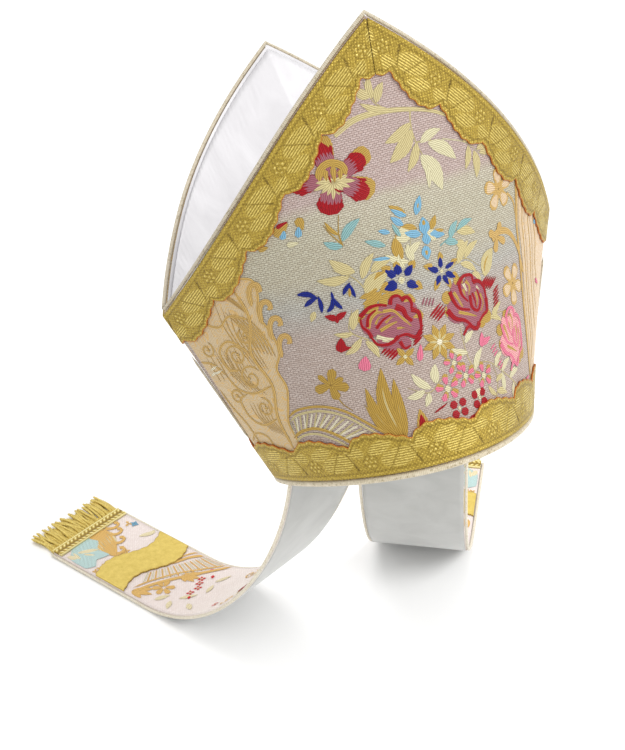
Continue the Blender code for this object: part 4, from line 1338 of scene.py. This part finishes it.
def panel_wall(name, panel, top, under, materials, **extra):
    rows = seam_rows(44, 64)
    columns = np.sin(np.linspace(-math.pi / 2, math.pi / 2, 73))
    up = np.repeat(rows[:, None], len(columns), 1)
    x = half_width(up) * columns

    def place(a, u, lift):
        return panel.upright(a, u, lift) @ TILT.T

    lifts = [np.full_like(x, lift) for lift in (top, under)]
    piece = wall(name, place, x, up, *lifts, materials, panel.face == BACK, **extra)
    hem = piece.data.uv_layers.new(name="Hem")
    heights = np.linspace(SHOULDER_HEIGHT, PEAK_HEIGHT, 260)
    edge = np.stack([half_width(heights + 1e-9), heights], 1)
    run = run_along(edge)
    spots = np.stack([np.abs(x).ravel(), up.ravel()], 1)
    away = np.linalg.norm(spots[:, None] - edge[None], axis=2)
    beside = np.stack([run[away.argmin(1)], away.min(1)], 1) / MM
    hem.data.foreach_set("uv", np.tile(beside, (2, 1)).astype(np.float32)[corner_points(piece.data)].ravel())
    return piece


def scallop_width(length):
    """Width of the galloon: a scallop that rises fast and falls slowly, rippled by the picots of its edge."""
    share = (length / SCALLOP_PITCH) % 1.0
    width = mix(GALLOON_NARROW, GALLOON_WIDE, np.sin(math.pi * share**SCALLOP_SKEW))
    return width + GALLOON_RIPPLE * np.sin(length * 2 * math.pi / GALLOON_RIPPLE_PITCH)


def galloon_relief(along, inset, width):
    """Height of the galloon's relief and how far it is ribbed, both 0 to 1."""
    x = (along / SCALLOP_PITCH) % 1.0 * SCALLOP_PITCH
    relief = np.full(np.broadcast(along, inset).shape, 0.5)
    # Selvage: one straight ridge with a groove beside it, and a beaded rope along the scallops
    relief = np.maximum(relief, 0.66 * bump_at(inset - 0.0018, 0.0008))
    relief = relief - 0.22 * bump_at(inset - 0.0034, 0.0005)
    rope = bump_at(width - inset - 0.0014, 0.0010) * (0.55 + 0.45 * np.sin(along * 2 * math.pi / 0.0021))
    relief = np.maximum(relief - 0.25 * bump_at(width - inset - 0.0032, 0.0007), 0.95 * rope)

    def wrapped(centre):
        return (x - centre + SCALLOP_PITCH / 2) % SCALLOP_PITCH - SCALLOP_PITCH / 2

    # Leaves of straight ribs on both sides of the flower, then the cut veins beside them
    ribbed = np.zeros_like(relief)
    for centre, middle, long, broad, lean in (
        (0.0290, 0.0105, 0.0120, 0.0062, 0.12),
        (0.0190, 0.0180, 0.0085, 0.0042, 0.40),
        (0.0020, 0.0170, 0.0070, 0.0040, -0.35),
    ):
        px, py = wrapped(centre), inset - middle
        a, b = px * math.cos(lean) + py * math.sin(lean), py * math.cos(lean) - px * math.sin(lean)
        body = smooth((1 - (a / long) ** 2 - (b / broad) ** 2) * 4)
        ribbed = np.maximum(ribbed, body * smooth((width - inset - 0.0036) / 0.001))
    relief = mix(relief, 0.62, ribbed)
    for slope, start in ((1.1, 0.0265), (-0.7, 0.0395)):
        vein = bump_at(wrapped(start + (inset - 0.010) * slope * 0.6), 0.0006)
        vein = vein * smooth((inset - 0.004) / 0.001) * smooth((width * 0.8 - inset) / 0.002)
        relief, ribbed = relief - 0.5 * vein, ribbed * (1 - vein)
    # Flower of seven beads in a hollow
    away = np.hypot(wrapped(FLOWER_ALONG), inset - FLOWER_INSET)
    relief = mix(relief, 0.36, smooth((0.0056 - away) / 0.0012))
    petals = [(FLOWER_RADIUS * math.cos(a), FLOWER_RADIUS * math.sin(a)) for a in np.arange(6) * math.pi / 3]
    for dx, dy in [(0.0, 0.0), *petals]:
        away = np.hypot(wrapped(FLOWER_ALONG + dx), inset - FLOWER_INSET - dy)
        relief = np.maximum(relief, bump_at(away, 0.0012))
    return np.clip(relief, 0, 1), ribbed


def strip_wall(name, place, across, up, relief, values, gold, flip, **extra):
    top = GAP + GALLOON_THICKNESS - RELIEF_HEIGHT * 0.6 + RELIEF_HEIGHT * relief
    return wall(
        name, place, across, up, top, np.full_like(top, GAP), [gold], flip, values=values,
        slot_name="gold_galloon", **extra,
    )


def figured_strip(name, panel, across, up, along, insets, width, gold, flip):
    """A strip of galloon from its places on the panel, and how far along it and in from its edge they are."""
    along = np.broadcast_to(along, insets.shape)
    relief, ribbed = galloon_relief(along, insets, width)
    values = {"Relief": relief, "Ribbed": ribbed, "Stitch": smooth(1 - (width - insets) / STITCH_WIDTH)}
    maps = {"Strip": np.stack([along, insets], 2) / MM}
    node = name.replace("_trim", "")
    return strip_wall(
        name, panel.place, across, up, relief, values, gold, flip, maps=maps, stands_for=(node,),
    )


def edge_galloon(panel, side, gold):
    """The strip along one edge of a horn, mitred at the peak and cut off by the side seam."""
    heights = np.linspace(SHOULDER_HEIGHT, PEAK_HEIGHT, 60)
    edge = np.stack([panel.seam_at(heights + 1e-9), heights], 1)
    edge[-1] = (0.0, PEAK_HEIGHT)
    tangent = (edge[1] - edge[0]) / np.linalg.norm(edge[1] - edge[0])
    edge = np.vstack([edge[0] - tangent * GALLOON_WIDE * 1.5, edge])
    run = run_along(edge)
    count = int(run[-1] / 0.00075)
    lengths = np.linspace(0, run[-1], count)

    def at(length):
        return np.stack([np.interp(length, run, edge[:, k]) for k in (0, 1)], 1)

    ahead = at(lengths + 0.004) - at(lengths - 0.004)
    ahead /= np.linalg.norm(ahead, axis=1)[:, None]
    inward = np.stack([-ahead[:, 1], ahead[:, 0]], 1)
    width = scallop_width(lengths)
    rows = []
    for start, way, broad, length in zip(at(lengths), inward, width, lengths):
        insets = np.linspace(GALLOON_INSET, broad, 160)
        spots = start + way * insets[:, None]
        u, v = spots[:, 0], spots[:, 1]
        limit = np.where(v > SHOULDER_HEIGHT, 1.0, np.interp(v, SEAM_HEIGHTS, panel_seams[panel.face]))
        inside = (u >= SEAM_GAP / 2) & (v > 0) & (u <= limit)
        if inside.sum() > 2:
            kept = insets[inside]
            rows.append((start, way, kept[0], kept[-1], broad, length))
    columns = np.linspace(0, 1, GALLOON_COLUMNS)
    insets = np.array([mix(r[2], r[3], columns) for r in rows])
    starts, ways = np.array([r[0] for r in rows]), np.array([r[1] for r in rows])
    broad, along = np.array([[r[4]] for r in rows]), np.array([[r[5]] for r in rows])
    across = side * (starts[:, :1] + ways[:, :1] * insets)
    up = starts[:, 1:] + ways[:, 1:] * insets
    name = f"{panel.name}_{SIDE_NAMES[side]}_galloon_trim"
    return figured_strip(name, panel, across, up, along, insets, broad, gold, panel.face * side < 0)


def rim_galloon(panel, gold):
    """The band round one half of the rim, its scallops upwards."""
    around = 2 * panel_seams[panel.face][0]
    count = int(around / 0.0008)
    along = np.linspace(0, around, count)[:, None]
    width = scallop_width(along)
    insets = mix(GALLOON_INSET, width, np.linspace(0, 1, GALLOON_COLUMNS))
    seam = np.interp(insets, SEAM_HEIGHTS, panel_seams[panel.face])
    across = mix(-1, 1, along / around) * seam
    name = f"{panel.name}_rim_galloon_trim"
    return figured_strip(name, panel, across, insets, along, insets, width, gold, panel.face == FRONT)


def edge_piping(panel, cloth):
    """The cord round a horn's edge, from shoulder to shoulder."""
    outward = EDGE_PIPING_RADIUS + GAP / 4
    share = np.linspace(0.015, 1.0, 120)
    height = mix(SHOULDER_HEIGHT, PEAK_HEIGHT, share)
    slope = np.gradient(half_width(height), height)
    size = np.hypot(1.0, slope)
    x = half_width(height) + outward / size
    up = height - outward * slope / size
    x[-1], up[-1] = 0.0, PEAK_HEIGHT + outward * 1.5
    keep = np.concatenate([np.diff(up) > 0, [True]]) & (up <= up[-1])
    x, up = x[keep], up[keep]
    route_x = np.concatenate([x, -x[-2::-1]])
    route_up = np.concatenate([up, up[-2::-1]])
    points = panel.upright(route_x, route_up, np.full(len(route_x), -PANEL_THICKNESS / 2))
    close = panel.face * points[:, 1] < outward
    points[close, 1] = panel.face * outward
    name = f"{panel.name}_edge_piping"
    return cord(
        f"{name}_cord", points @ TILT.T, EDGE_PIPING_RADIUS, cloth, slot_name="cream_piping",
        stands_for=(name,),
    )


def rim_piping(panels, cloth):
    rings = []
    for panel in panels:
        x = -panel.face * RIM_HALF_WIDTH * np.sin(math.pi / 2 * np.linspace(-0.985, 0.985, 110))
        points = panel.upright(x, np.zeros_like(x), np.full_like(x, -PANEL_THICKNESS / 2))
        points[:, 2] = -RIM_PIPING_RADIUS - GAP
        rings.append(points)
    route = np.vstack(rings) @ TILT.T
    return cord(
        "rim_piping_cord", route, RIM_PIPING_RADIUS, cloth, 12, ring=True, slot_name="cream_piping",
        stands_for=("rim_piping",),
    )


def seam_cords(cloth):
    outward = SEAM_CORD_RADIUS + GAP / 4
    share = np.linspace(0, 1, 60)
    radius = SEAM_CORD_RADIUS * (0.3 + 0.7 * smooth(np.minimum(share, 1 - share) * 12))
    for side in (LEFT, RIGHT):
        height = mix(
            GALLOON_WIDE + SEAM_CORD_ABOVE_GALLOON, SHOULDER_HEIGHT - SEAM_CORD_BELOW_SHOULDER, share,
        )
        points = np.stack([side * (half_width(height) + outward), np.zeros_like(height), height], 1)
        name = f"{SIDE_NAMES[side]}_seam_cord"
        cord(
            f"{name}_thread", points @ TILT.T, radius, cloth, 8, slot_name="cream_piping",
            stands_for=(name,),
        )


def gusset(panels, satin):
    """The satin between the horns: gathered along its seams and sagging in the middle."""
    lift = -PANEL_THICKNESS - LINING_THICKNESS - 2 * GAP - GUSSET_CLEARANCE
    columns, rows = 181, 61
    across = np.linspace(-1, 1, columns)
    share = mix(1.0, GUSSET_START, np.abs(across))
    height = mix(SHOULDER_HEIGHT, PEAK_HEIGHT, share) - GUSSET_DROP
    x = np.sign(across) * horn_half_width(share)
    ends = [panel.upright(x, height, np.full_like(x, lift)) for panel in panels]
    w = np.linspace(0, 1, rows)[:, None, None]
    points = ends[0] * (1 - w) + ends[1] * w
    sag = GUSSET_SAG * (1 - across**2) ** 1.2
    flat_w = w[:, :, 0]
    points[:, :, 2] -= sag * 4 * flat_w * (1 - flat_w)
    # Gathers 5 mm apart fade out 14 mm from each seam. A few soft folds cross the middle.
    length = np.cumsum(np.concatenate([[0], np.hypot(np.diff(x), np.diff(height))]))
    span = np.linalg.norm(ends[1] - ends[0], axis=1)
    from_seam = np.minimum(flat_w, 1 - flat_w) * span
    gathers = np.sin(length * 2 * math.pi / GATHER_PITCH + 1.7 * np.sin(length * 60))
    gathers = gathers * bump_at(from_seam - 0.005, 0.007)
    folds = np.sin(length * 38 + 5 * flat_w) * np.sin(flat_w * math.pi) ** 2
    points[:, :, 2] += np.minimum(1.0, span / 0.05) * (GATHER_HEIGHT * gathers + FOLD_HEIGHT * folds)
    flat = np.stack([np.broadcast_to(length, from_seam.shape), flat_w * span], 2).reshape(-1, 2)
    top = points.reshape(-1, 3) @ TILT.T
    faces = grid_faces(rows, columns)
    piece = make_piece(
        "gusset_satin", top, faces, [satin], {"Flat": flat}, slot_name="white_lining",
        stands_for=("crown_gusset",),
    )
    thickness = piece.modifiers.new("Thickness", "SOLIDIFY")
    thickness.thickness = GUSSET_THICKNESS
    thickness.offset = 0.0
    cut = (float(length[-1]), float(np.linalg.norm(np.diff(points, axis=0), axis=2).sum(0).max()))
    return piece, cut


# Lappets

def lappet_cloth(lappet, ground, satin):
    rows, columns = np.linspace(0, LAPPET_LENGTH, 150), np.linspace(0, LAPPET_WIDTH, 22)
    across, along = np.meshgrid(columns, rows)
    ripple = 0.00035 * np.sin(along * 55 + across * 40) * smooth(1 - along / 0.26)
    name = f"{lappet.name}_lappet"
    return wall(
        f"{name}_cloth", lappet.place, across, along, ripple, ripple - LAPPET_THICKNESS, [ground, satin],
        lappet.side == LEFT, under_slot=1, slot_name="brocade", stands_for=(name,),
    )


def lappet_pattern(lappet, silk):
    """The brocade of the lappet, charted from its outer edge and its fringed end."""
    end = LAPPET_LENGTH / MM
    w = Weaving()

    def at(*points):
        return [(x, end - y) for x, y in points]

    # Shell work with a pale blue patch beside the fringe
    w.shape(at((44, 8), (37, 20), (28, 44)), 24, "bright_gold", "drop", layer=0)
    for k in range(7):
        rib = at((31 + k * 3, 12 + k * 0.5), (27 + k * 3.2, 24), (25 + k * 2.4, 38))
        w.shape(rib, 1.3, "pale_straw", "leaf", layer=1)
    w.shape(at((30, 8), (14, 22), (-1, 36)), 22, "pale_sky", "ribbon", layer=2)
    w.shape(at((6, 14), (16, 26), (27, 39)), 17, "pale_sky", "leaf", layer=2)
    for foot, tip, width in (
        ((2, 14), (8, 24), 6), ((9, 14), (7, 26), 4), ((11, 17), (26, 27), 7), ((13, 22), (19, 31), 4),
    ):
        w.shape(at(foot, tip), width, "pale_straw", "leaf", layer=3)
    for x, y in ((57, 14), (53, 22), (46, 32), (36, 42)):
        curl = at((x - 8, y - 3), (x - 2, y + 2), (x + 4, y + 1), (x + 5, y - 3))
        w.shape(curl, 4.2, "bright_gold", "stem", layer=3)
        w.disc(at((x + 4, y - 2))[0], 2.3, "bright_gold", layer=3)
    w.shape(at((48, 8), (46, 20), (38, 34), (28, 46)), 2.0, "bright_gold", "ribbon", layer=3)
    for x in range(4, 40, 5):
        w.petals(at((x, 46))[0], 4, 3.6, 2.4, "bright_gold", x * 13, "leaf", layer=1)
    w.petals(at((70, 25))[0], 4, 4, 3, "sky", 20, "leaf", layer=2)
    w.petals(at((67, 21))[0], 3, 4, 3.4, "bright_gold", 70, "petal", layer=1)
    w.shape(at((60, 40), (70, 45), (77, 44)), 5, "pale_straw", "leaf", layer=1)
    # Ribbed ribbon past the gold band
    for route, width in (
        (at((4, 88), (22, 94), (44, 106), (60, 118), (76, 133)), 3.4),
        (at((8, 84), (26, 90), (47, 101), (62, 113), (76, 127)), 1.6),
        (at((44, 82), (54, 88), (66, 93), (76, 101)), 3.0),
        (at((52, 82), (60, 86), (70, 90), (76, 95)), 1.6),
    ):
        w.shape(route, width, "bright_gold", "ribbon", layer=3)
    for k in range(22):
        share = k / 21
        rib = at((mix(18, 75, share), mix(86, 124, share)), (mix(30, 75, share), mix(80, 102, share)))
        w.shape(rib, 1.3, "bright_gold" if k % 2 else "ivory", "ribbon", layer=2)
    # Gold flower and leaves, then small scarlet flowers
    for angle in (20, 75, 135, 190, 250, 310):
        way = towards(angle)
        middle = np.array(at((24, 103))[0])
        w.shape([middle + way * 1.2, middle + way * 9.5], 6.5, "bright_gold", "petal", layer=1)
    for tip in ((44, 118), (50, 119), (57, 117), (40, 112)):
        w.shape(at((46, 104), tip), 6, "bright_gold", "leaf", layer=1)
    for tip in ((3, 98), (12, 102), (18, 98)):
        w.shape(at((5, 86), tip), 6, "bright_gold", "leaf", layer=1)
    for x, y in ((44, 124), (38, 128), (30, 127), (50, 121)):
        four_petal_flower(w, at((x, y))[0], 3.6, "scarlet", "pale_straw")
    for foot, tip in (((62, 118), (66, 123)), ((58, 126), (54, 129)), ((26, 130), (22, 133))):
        w.shape(at(foot, tip), 3.4, "scarlet", "drop", layer=2)
    for foot, tip in (
        ((8, 108), (20, 114)), ((14, 120), (4, 126)), ((20, 124), (30, 136)), ((34, 142), (46, 138)),
        ((50, 136), (62, 144)), ((16, 138), (8, 150)),
    ):
        w.shape(at(foot, tip), 5, "pale_straw", "leaf", layer=1)
    # Further up, hidden from the front: roses and leaves again
    rose(w, at((38, 208))[0], RED_ROSE, "crimson", "mauve", "gold", "cream")
    rose(w, at((36, 300))[0], TURNED_ROSE, "rose", "pale_rose", "gold", "pale_rose")
    star = (
        ((0, 3), (0, 10), 4.6), ((3, 1), (9, 5), 4.6), ((2, -3), (6, -8), 4.6), ((-2, -3), (-6, -8), 4.6),
        ((-3, 1), (-9, 5), 4.6),
    )
    cobalt_flower(w, at((20, 240))[0], star, 2.0)
    cobalt_flower(w, at((55, 246))[0], star, 1.6)
    for foot, tip, width in (
        ((50, 206), (66, 214), 6), ((20, 206), (8, 214), 6), ((40, 212), (44, 228), 5),
        ((30, 250), (14, 262), 6), ((44, 254), (60, 264), 6), ((36, 260), (36, 278), 5),
        ((54, 288), (68, 280), 6), ((18, 284), (6, 276), 5),
        ((44, 322), (58, 334), 6), ((24, 322), (12, 334), 6), ((34, 326), (34, 346), 5),
    ):
        w.shape(at(foot, tip), width, "straw", "leaf", layer=1)
    for k in range(8):
        y, x, hand = 168 + 27 * k, 12 if k % 2 else 62, 1 if k % 2 else -1
        scroll(w, at((x, y))[0], 7, 1.3, "bright_gold", 1.3, 90 * k, hand)
        four_petal_flower(w, at((74 - x, y + 9))[0], 3.4, "scarlet", "pale_straw")
        leaf = at((x, y + 6), (x + 8 * hand, y + 16), (x + 6 * hand, y + 24))
        w.shape(leaf, 3.0, "pale_straw", "leaf", layer=1)

    def place(across, along, lift):
        """Shapes that would run over an edge are eased back to 1 mm inside it."""
        room = 0.003
        eased = np.where(across < room, 0.001 + 0.002 * np.exp((across - room) / 0.002), across)
        far = LAPPET_WIDTH - across
        eased = np.where(far < room, LAPPET_WIDTH - 0.001 - 0.002 * np.exp((far - room) / 0.002), eased)
        return lappet.place(eased, along, lift + 0.0002)

    return w.finish(f"{lappet.name}_lappet_flowers", place, silk, lappet.side == RIGHT)


def lappet_trims(lappet, ribbon, cloth, braid, thread, rng):
    name = lappet.name
    along = np.linspace(0, LAPPET_LENGTH, 160)
    beside = LAPPET_PIPING_RADIUS + 1.5 * GAP
    pieces = []
    for label, across, aside in (("outer", 0.0, -beside), ("inner", LAPPET_WIDTH, beside)):
        route = lappet.place(np.full_like(along, across), along, -LAPPET_THICKNESS / 2)
        route = route + lappet.inward * aside
        node = f"{name}_lappet_{label}_piping"
        pieces.append(
            cord(
                f"{node}_cord", route, LAPPET_PIPING_RADIUS, cloth, 8, slot_name="cream_piping",
                stands_for=(node,),
            )
        )
    middle = LAPPET_LENGTH - LAPPET_GALLOON_FROM_END - LAPPET_GALLOON_WIDTH / 2
    columns, rows = np.linspace(0, 1, 96), np.linspace(-0.5, 0.5, 44)
    share, step = np.meshgrid(columns, rows)
    wave = LAPPET_GALLOON_WAVE * np.sin(2 * math.pi * share) + 0.0004 * np.sin(share * 60)
    lengths = middle + step * LAPPET_GALLOON_WIDTH + wave
    inset = (0.5 - np.abs(step)) * LAPPET_GALLOON_WIDTH
    # Threads 1.9 mm apart, both ways
    crossed = np.sin(share * LAPPET_WIDTH * 2 * math.pi / 0.0019)
    plain = 0.78 + 0.08 * crossed * np.sin(lengths * 2 * math.pi / 0.0019)
    relief = np.where(inset < 0.0016, 0.8 + 0.2 * np.sin(share * 300), plain)
    stitch = smooth(1 - inset / STITCH_WIDTH) * (0.55 + 0.45 * np.sin(share * 230))
    node = f"{name}_lappet_galloon"
    pieces.append(
        strip_wall(
            f"{node}_trim", lappet.place, share * LAPPET_WIDTH, lengths, relief, {"Stitch": stitch},
            ribbon, lappet.side == LEFT, stands_for=(node,),
        )
    )
    # Header braid: two rows of slanting gilt stitches
    share, step = np.meshgrid(np.linspace(0, 1, 180), np.linspace(0, 1, 21))
    slant = np.where(step < 0.5, 1, -1)
    relief = 0.5 + 0.5 * np.sin((share * LAPPET_WIDTH + slant * step * 0.007) * 2 * math.pi / 0.0042)
    edges = 0.9 * bump_at(np.minimum(step, 1 - step), 0.12)
    relief = np.maximum(relief * np.sin(step * 2 * math.pi) ** 2, edges)
    lengths = LAPPET_LENGTH - BRAID_WIDTH + step * BRAID_WIDTH
    node = f"{name}_fringe_braid"
    top = GAP + BRAID_THICKNESS + BRAID_RELIEF * relief
    under = np.full_like(top, GAP)
    pieces.append(
        wall(
            f"{node}_trim", lappet.place, share * LAPPET_WIDTH, lengths, top, under, [braid],
            lappet.side == LEFT, values={"Relief": relief}, slot_name="gold_galloon", stands_for=(node,),
        )
    )
    pieces.append(fringe(lappet, thread, rng))
    return pieces


def fringe(lappet, thread, rng):
    """Twisted gilt threads that leave the braid side by side and fan out a little on the surface."""
    points, faces, flat = [], [], []
    for k in range(FRINGE_THREADS):
        share = (k + 0.5) / FRINGE_THREADS
        layer = k % 2
        length = FRINGE_LENGTH * (0.78 + 0.21 * rng.random())
        lean = (rng.random() - 0.5) * 0.012
        curl = (rng.random() - 0.5) * 0.005
        steps = np.linspace(0, 1, 34)
        across = share * LAPPET_WIDTH + lean * steps + curl * np.sin(steps * math.pi)
        across = np.clip(across, -0.002, LAPPET_WIDTH + 0.002)
        along = LAPPET_LENGTH - 0.001 + length * steps
        drop = mix(-0.0010, -LAPPET_THICKNESS + FRINGE_THREAD_RADIUS + 0.0018 * layer, smooth(steps * 2.5))
        lift = drop + 0.0005 * np.sin(steps * 5 + k)
        route = lappet.place(across, along, np.maximum(lift, -LAPPET_THICKNESS + 0.00145))
        radius = np.interp(steps, [0, 0.9, 1.0], [FRINGE_THREAD_RADIUS, FRINGE_THREAD_RADIUS, 0.0007])
        rings, bands, strip = cord(None, route, radius, thread, 9, twist=FRINGE_TWIST)
        faces += [tuple(i + len(points) for i in f) for f in bands]
        points += rings
        flat += strip
    node = f"{lappet.name}_fringe"
    return make_piece(
        f"{node}_threads", points, faces, [thread], {"Flat": flat}, slot_name="gold_fringe",
        stands_for=(node,),
    )


# Stage

FLOOR_SIZE = 60.0
FLOOR_CLEARANCE = 0.0002
SKY_STRENGTH = 0.85
LAMPS_AIM = (0, 0, 0.05)
# name, place, width in metres, watts
LAMPS = [
    ("key", (1.0, -1.2, 1.5), 0.9, 30.0),
    ("fill", (-1.5, -0.5, 1.3), 1.3, 5.0),
    ("top", (-0.1, 0.8, 1.9), 1.4, 16.0),
]


def make_stage():
    bpy.ops.mesh.primitive_plane_add(size=FLOOR_SIZE, location=(0, 0, -SURFACE_DROP - FLOOR_CLEARANCE))
    floor = bpy.context.object
    floor.name = "pale_floor"
    floor.data.materials.append(pale_paper())
    # The colours are mixed as they are seen, with no film curve over them.
    bpy.context.scene.view_settings.view_transform = "Standard"
    world = bpy.data.worlds.new("studio")
    bpy.context.scene.world = world
    world.use_nodes = True
    background = world.node_tree.nodes["Background"]
    background.inputs["Color"].default_value = (1, 1, 1, 1)
    background.inputs["Strength"].default_value = SKY_STRENGTH
    for name, place, size, watts in LAMPS:
        lamp = bpy.data.lights.new(name, "AREA")
        lamp.size = size
        lamp.energy = watts
        light = bpy.data.objects.new(name, lamp)
        light.location = place
        light.rotation_euler = (Vector(LAMPS_AIM) - Vector(place)).to_track_quat("-Z", "Y").to_euler()
        bpy.context.scene.collection.objects.link(light)


def make_camera():
    angles = (CAMERA_AZIMUTH_DEG, CAMERA_ELEVATION_DEG, CAMERA_ROLL_DEG)
    azimuth, elevation, roll = (math.radians(angle) for angle in angles)
    level_share = math.cos(elevation)
    back = Vector((math.sin(azimuth) * level_share, -math.cos(azimuth) * level_share, math.sin(elevation)))
    level = Vector((math.cos(azimuth), math.sin(azimuth), 0.0))
    over = back.cross(level)
    right = level * math.cos(roll) + over * math.sin(roll)
    up = -level * math.sin(roll) + over * math.cos(roll)
    data = bpy.data.cameras.new("photo_view")
    data.sensor_width = SENSOR_MM
    data.lens = FOCAL_PX * SENSOR_MM / FRAME_LONG_SIDE_PX
    camera = bpy.data.objects.new("photo_view", data)
    place = Vector((0, 0, CAMERA_AIM_HEIGHT)) + back * CAMERA_DISTANCE
    place = place + right * CAMERA_ASIDE + up * CAMERA_LIFT
    camera.matrix_world = Matrix.Translation(place) @ Matrix((right, up, back)).transposed().to_4x4()
    bpy.context.scene.collection.objects.link(camera)
    bpy.context.scene.camera = camera


# Assembly

SEAM_HEIGHTS = np.linspace(0, SHOULDER_HEIGHT, 80)
front, back = Panel(FRONT), Panel(BACK)
panel_seams = {panel.face: panel.seam_at(SEAM_HEIGHTS) for panel in (front, back)}

ground = woven_ground("silk_brocade_ground", DYE_BANDS, "988882", 0.72)
pale_ground = woven_ground("pale_silk_brocade_ground", PALE_BANDS, "C6B8B2", 0.5)
damask = tone_on_tone("peach_and_gold_damask", "BEA984", "C8A464")
pale_damask = tone_on_tone("cream_and_peach_damask", "CDB79A", "CCAC7C")
cloth = piping_cloth("cream_taffeta_piping", [(0.12, "B4A684"), (0.3, "DAD2BE"), (1.0, "E2DBCA")])
horn_cloth = piping_cloth("stone_taffeta_piping", [(0.12, "8E8060"), (0.3, "B8AE98"), (1.0, "C6BCA8")])
rim_cloth = piping_cloth("flecked_taffeta_piping", [(0.12, "8A7A5A"), (0.3, "BEB296"), (1.0, "D6CCB6")])
silk, gold, ribbon = brocade_silk(), gold_galloon(), gilt_ribbon()
satin = plain_satin("white_satin", "C0BEC0", "CFCDCF")
# Painted shade: the lappets' backs are the white satin made greyer, for the shade they hang in under the hat.
shaded_satin = plain_satin("backing_satin", "A6A6A2", "B4B4B0")
gilt_thread, gilt_braid = bullion(), plaited_braid()


rim_piping((front, back), rim_cloth)
seam_cords(horn_cloth)

for panel in (front, back):
    name = panel.name
    says = {"rim_slot": 1, "slot_name": "brocade", "stands_for": (f"{name}_panel",)}
    brocade = panel_wall(f"{name}_brocade", panel, 0.0, -PANEL_THICKNESS, [ground, damask], **says)
    lining_top = -PANEL_THICKNESS - GAP
    says = {"slot_name": "white_lining", "stands_for": (f"{name}_lining",)}
    lining = panel_wall(f"{name}_satin", panel, lining_top, lining_top - LINING_THICKNESS, [satin], **says)
    trims = [rim_galloon(panel, gold), edge_piping(panel, horn_cloth)]
    for side in (LEFT, RIGHT):
        beyond = pale_damask if panel.face == FRONT and side == RIGHT else damask
        trims += [edge_galloon(panel, side, gold), damask_ground(panel, side, beyond)]
    weaving = Weaving()
    arabesque(weaving)
    if panel.face == FRONT:
        ribbon_streams(weaving)
    else:
        arabesque(weaving, side=1)
    gold_work(weaving)
    posy(weaving)
    trims.append(weaving.finish(f"{name}_flowers", panel.place, silk, panel.face == BACK))
    # Cut flat, a face is as wide as its shoulders and as long as its middle line.
    heights = np.linspace(0, PEAK_HEIGHT, 200)
    middle = float(np.hypot(np.diff(reach(heights, panel.face)), np.diff(heights)).sum())
    cut = (2 * float(panel.seam_at(SHOULDER_HEIGHT)[0]), middle)

gusset_piece, cut = gusset((front, back), satin)

rng = random.Random(5)
for side in (LEFT, RIGHT):
    lappet = Lappet(side)
    piece = lappet_cloth(lappet, pale_ground, shaded_satin)
    trims = [lappet_pattern(lappet, silk), *lappet_trims(lappet, ribbon, cloth, gilt_braid, gilt_thread, rng)]

make_stage()
make_camera()
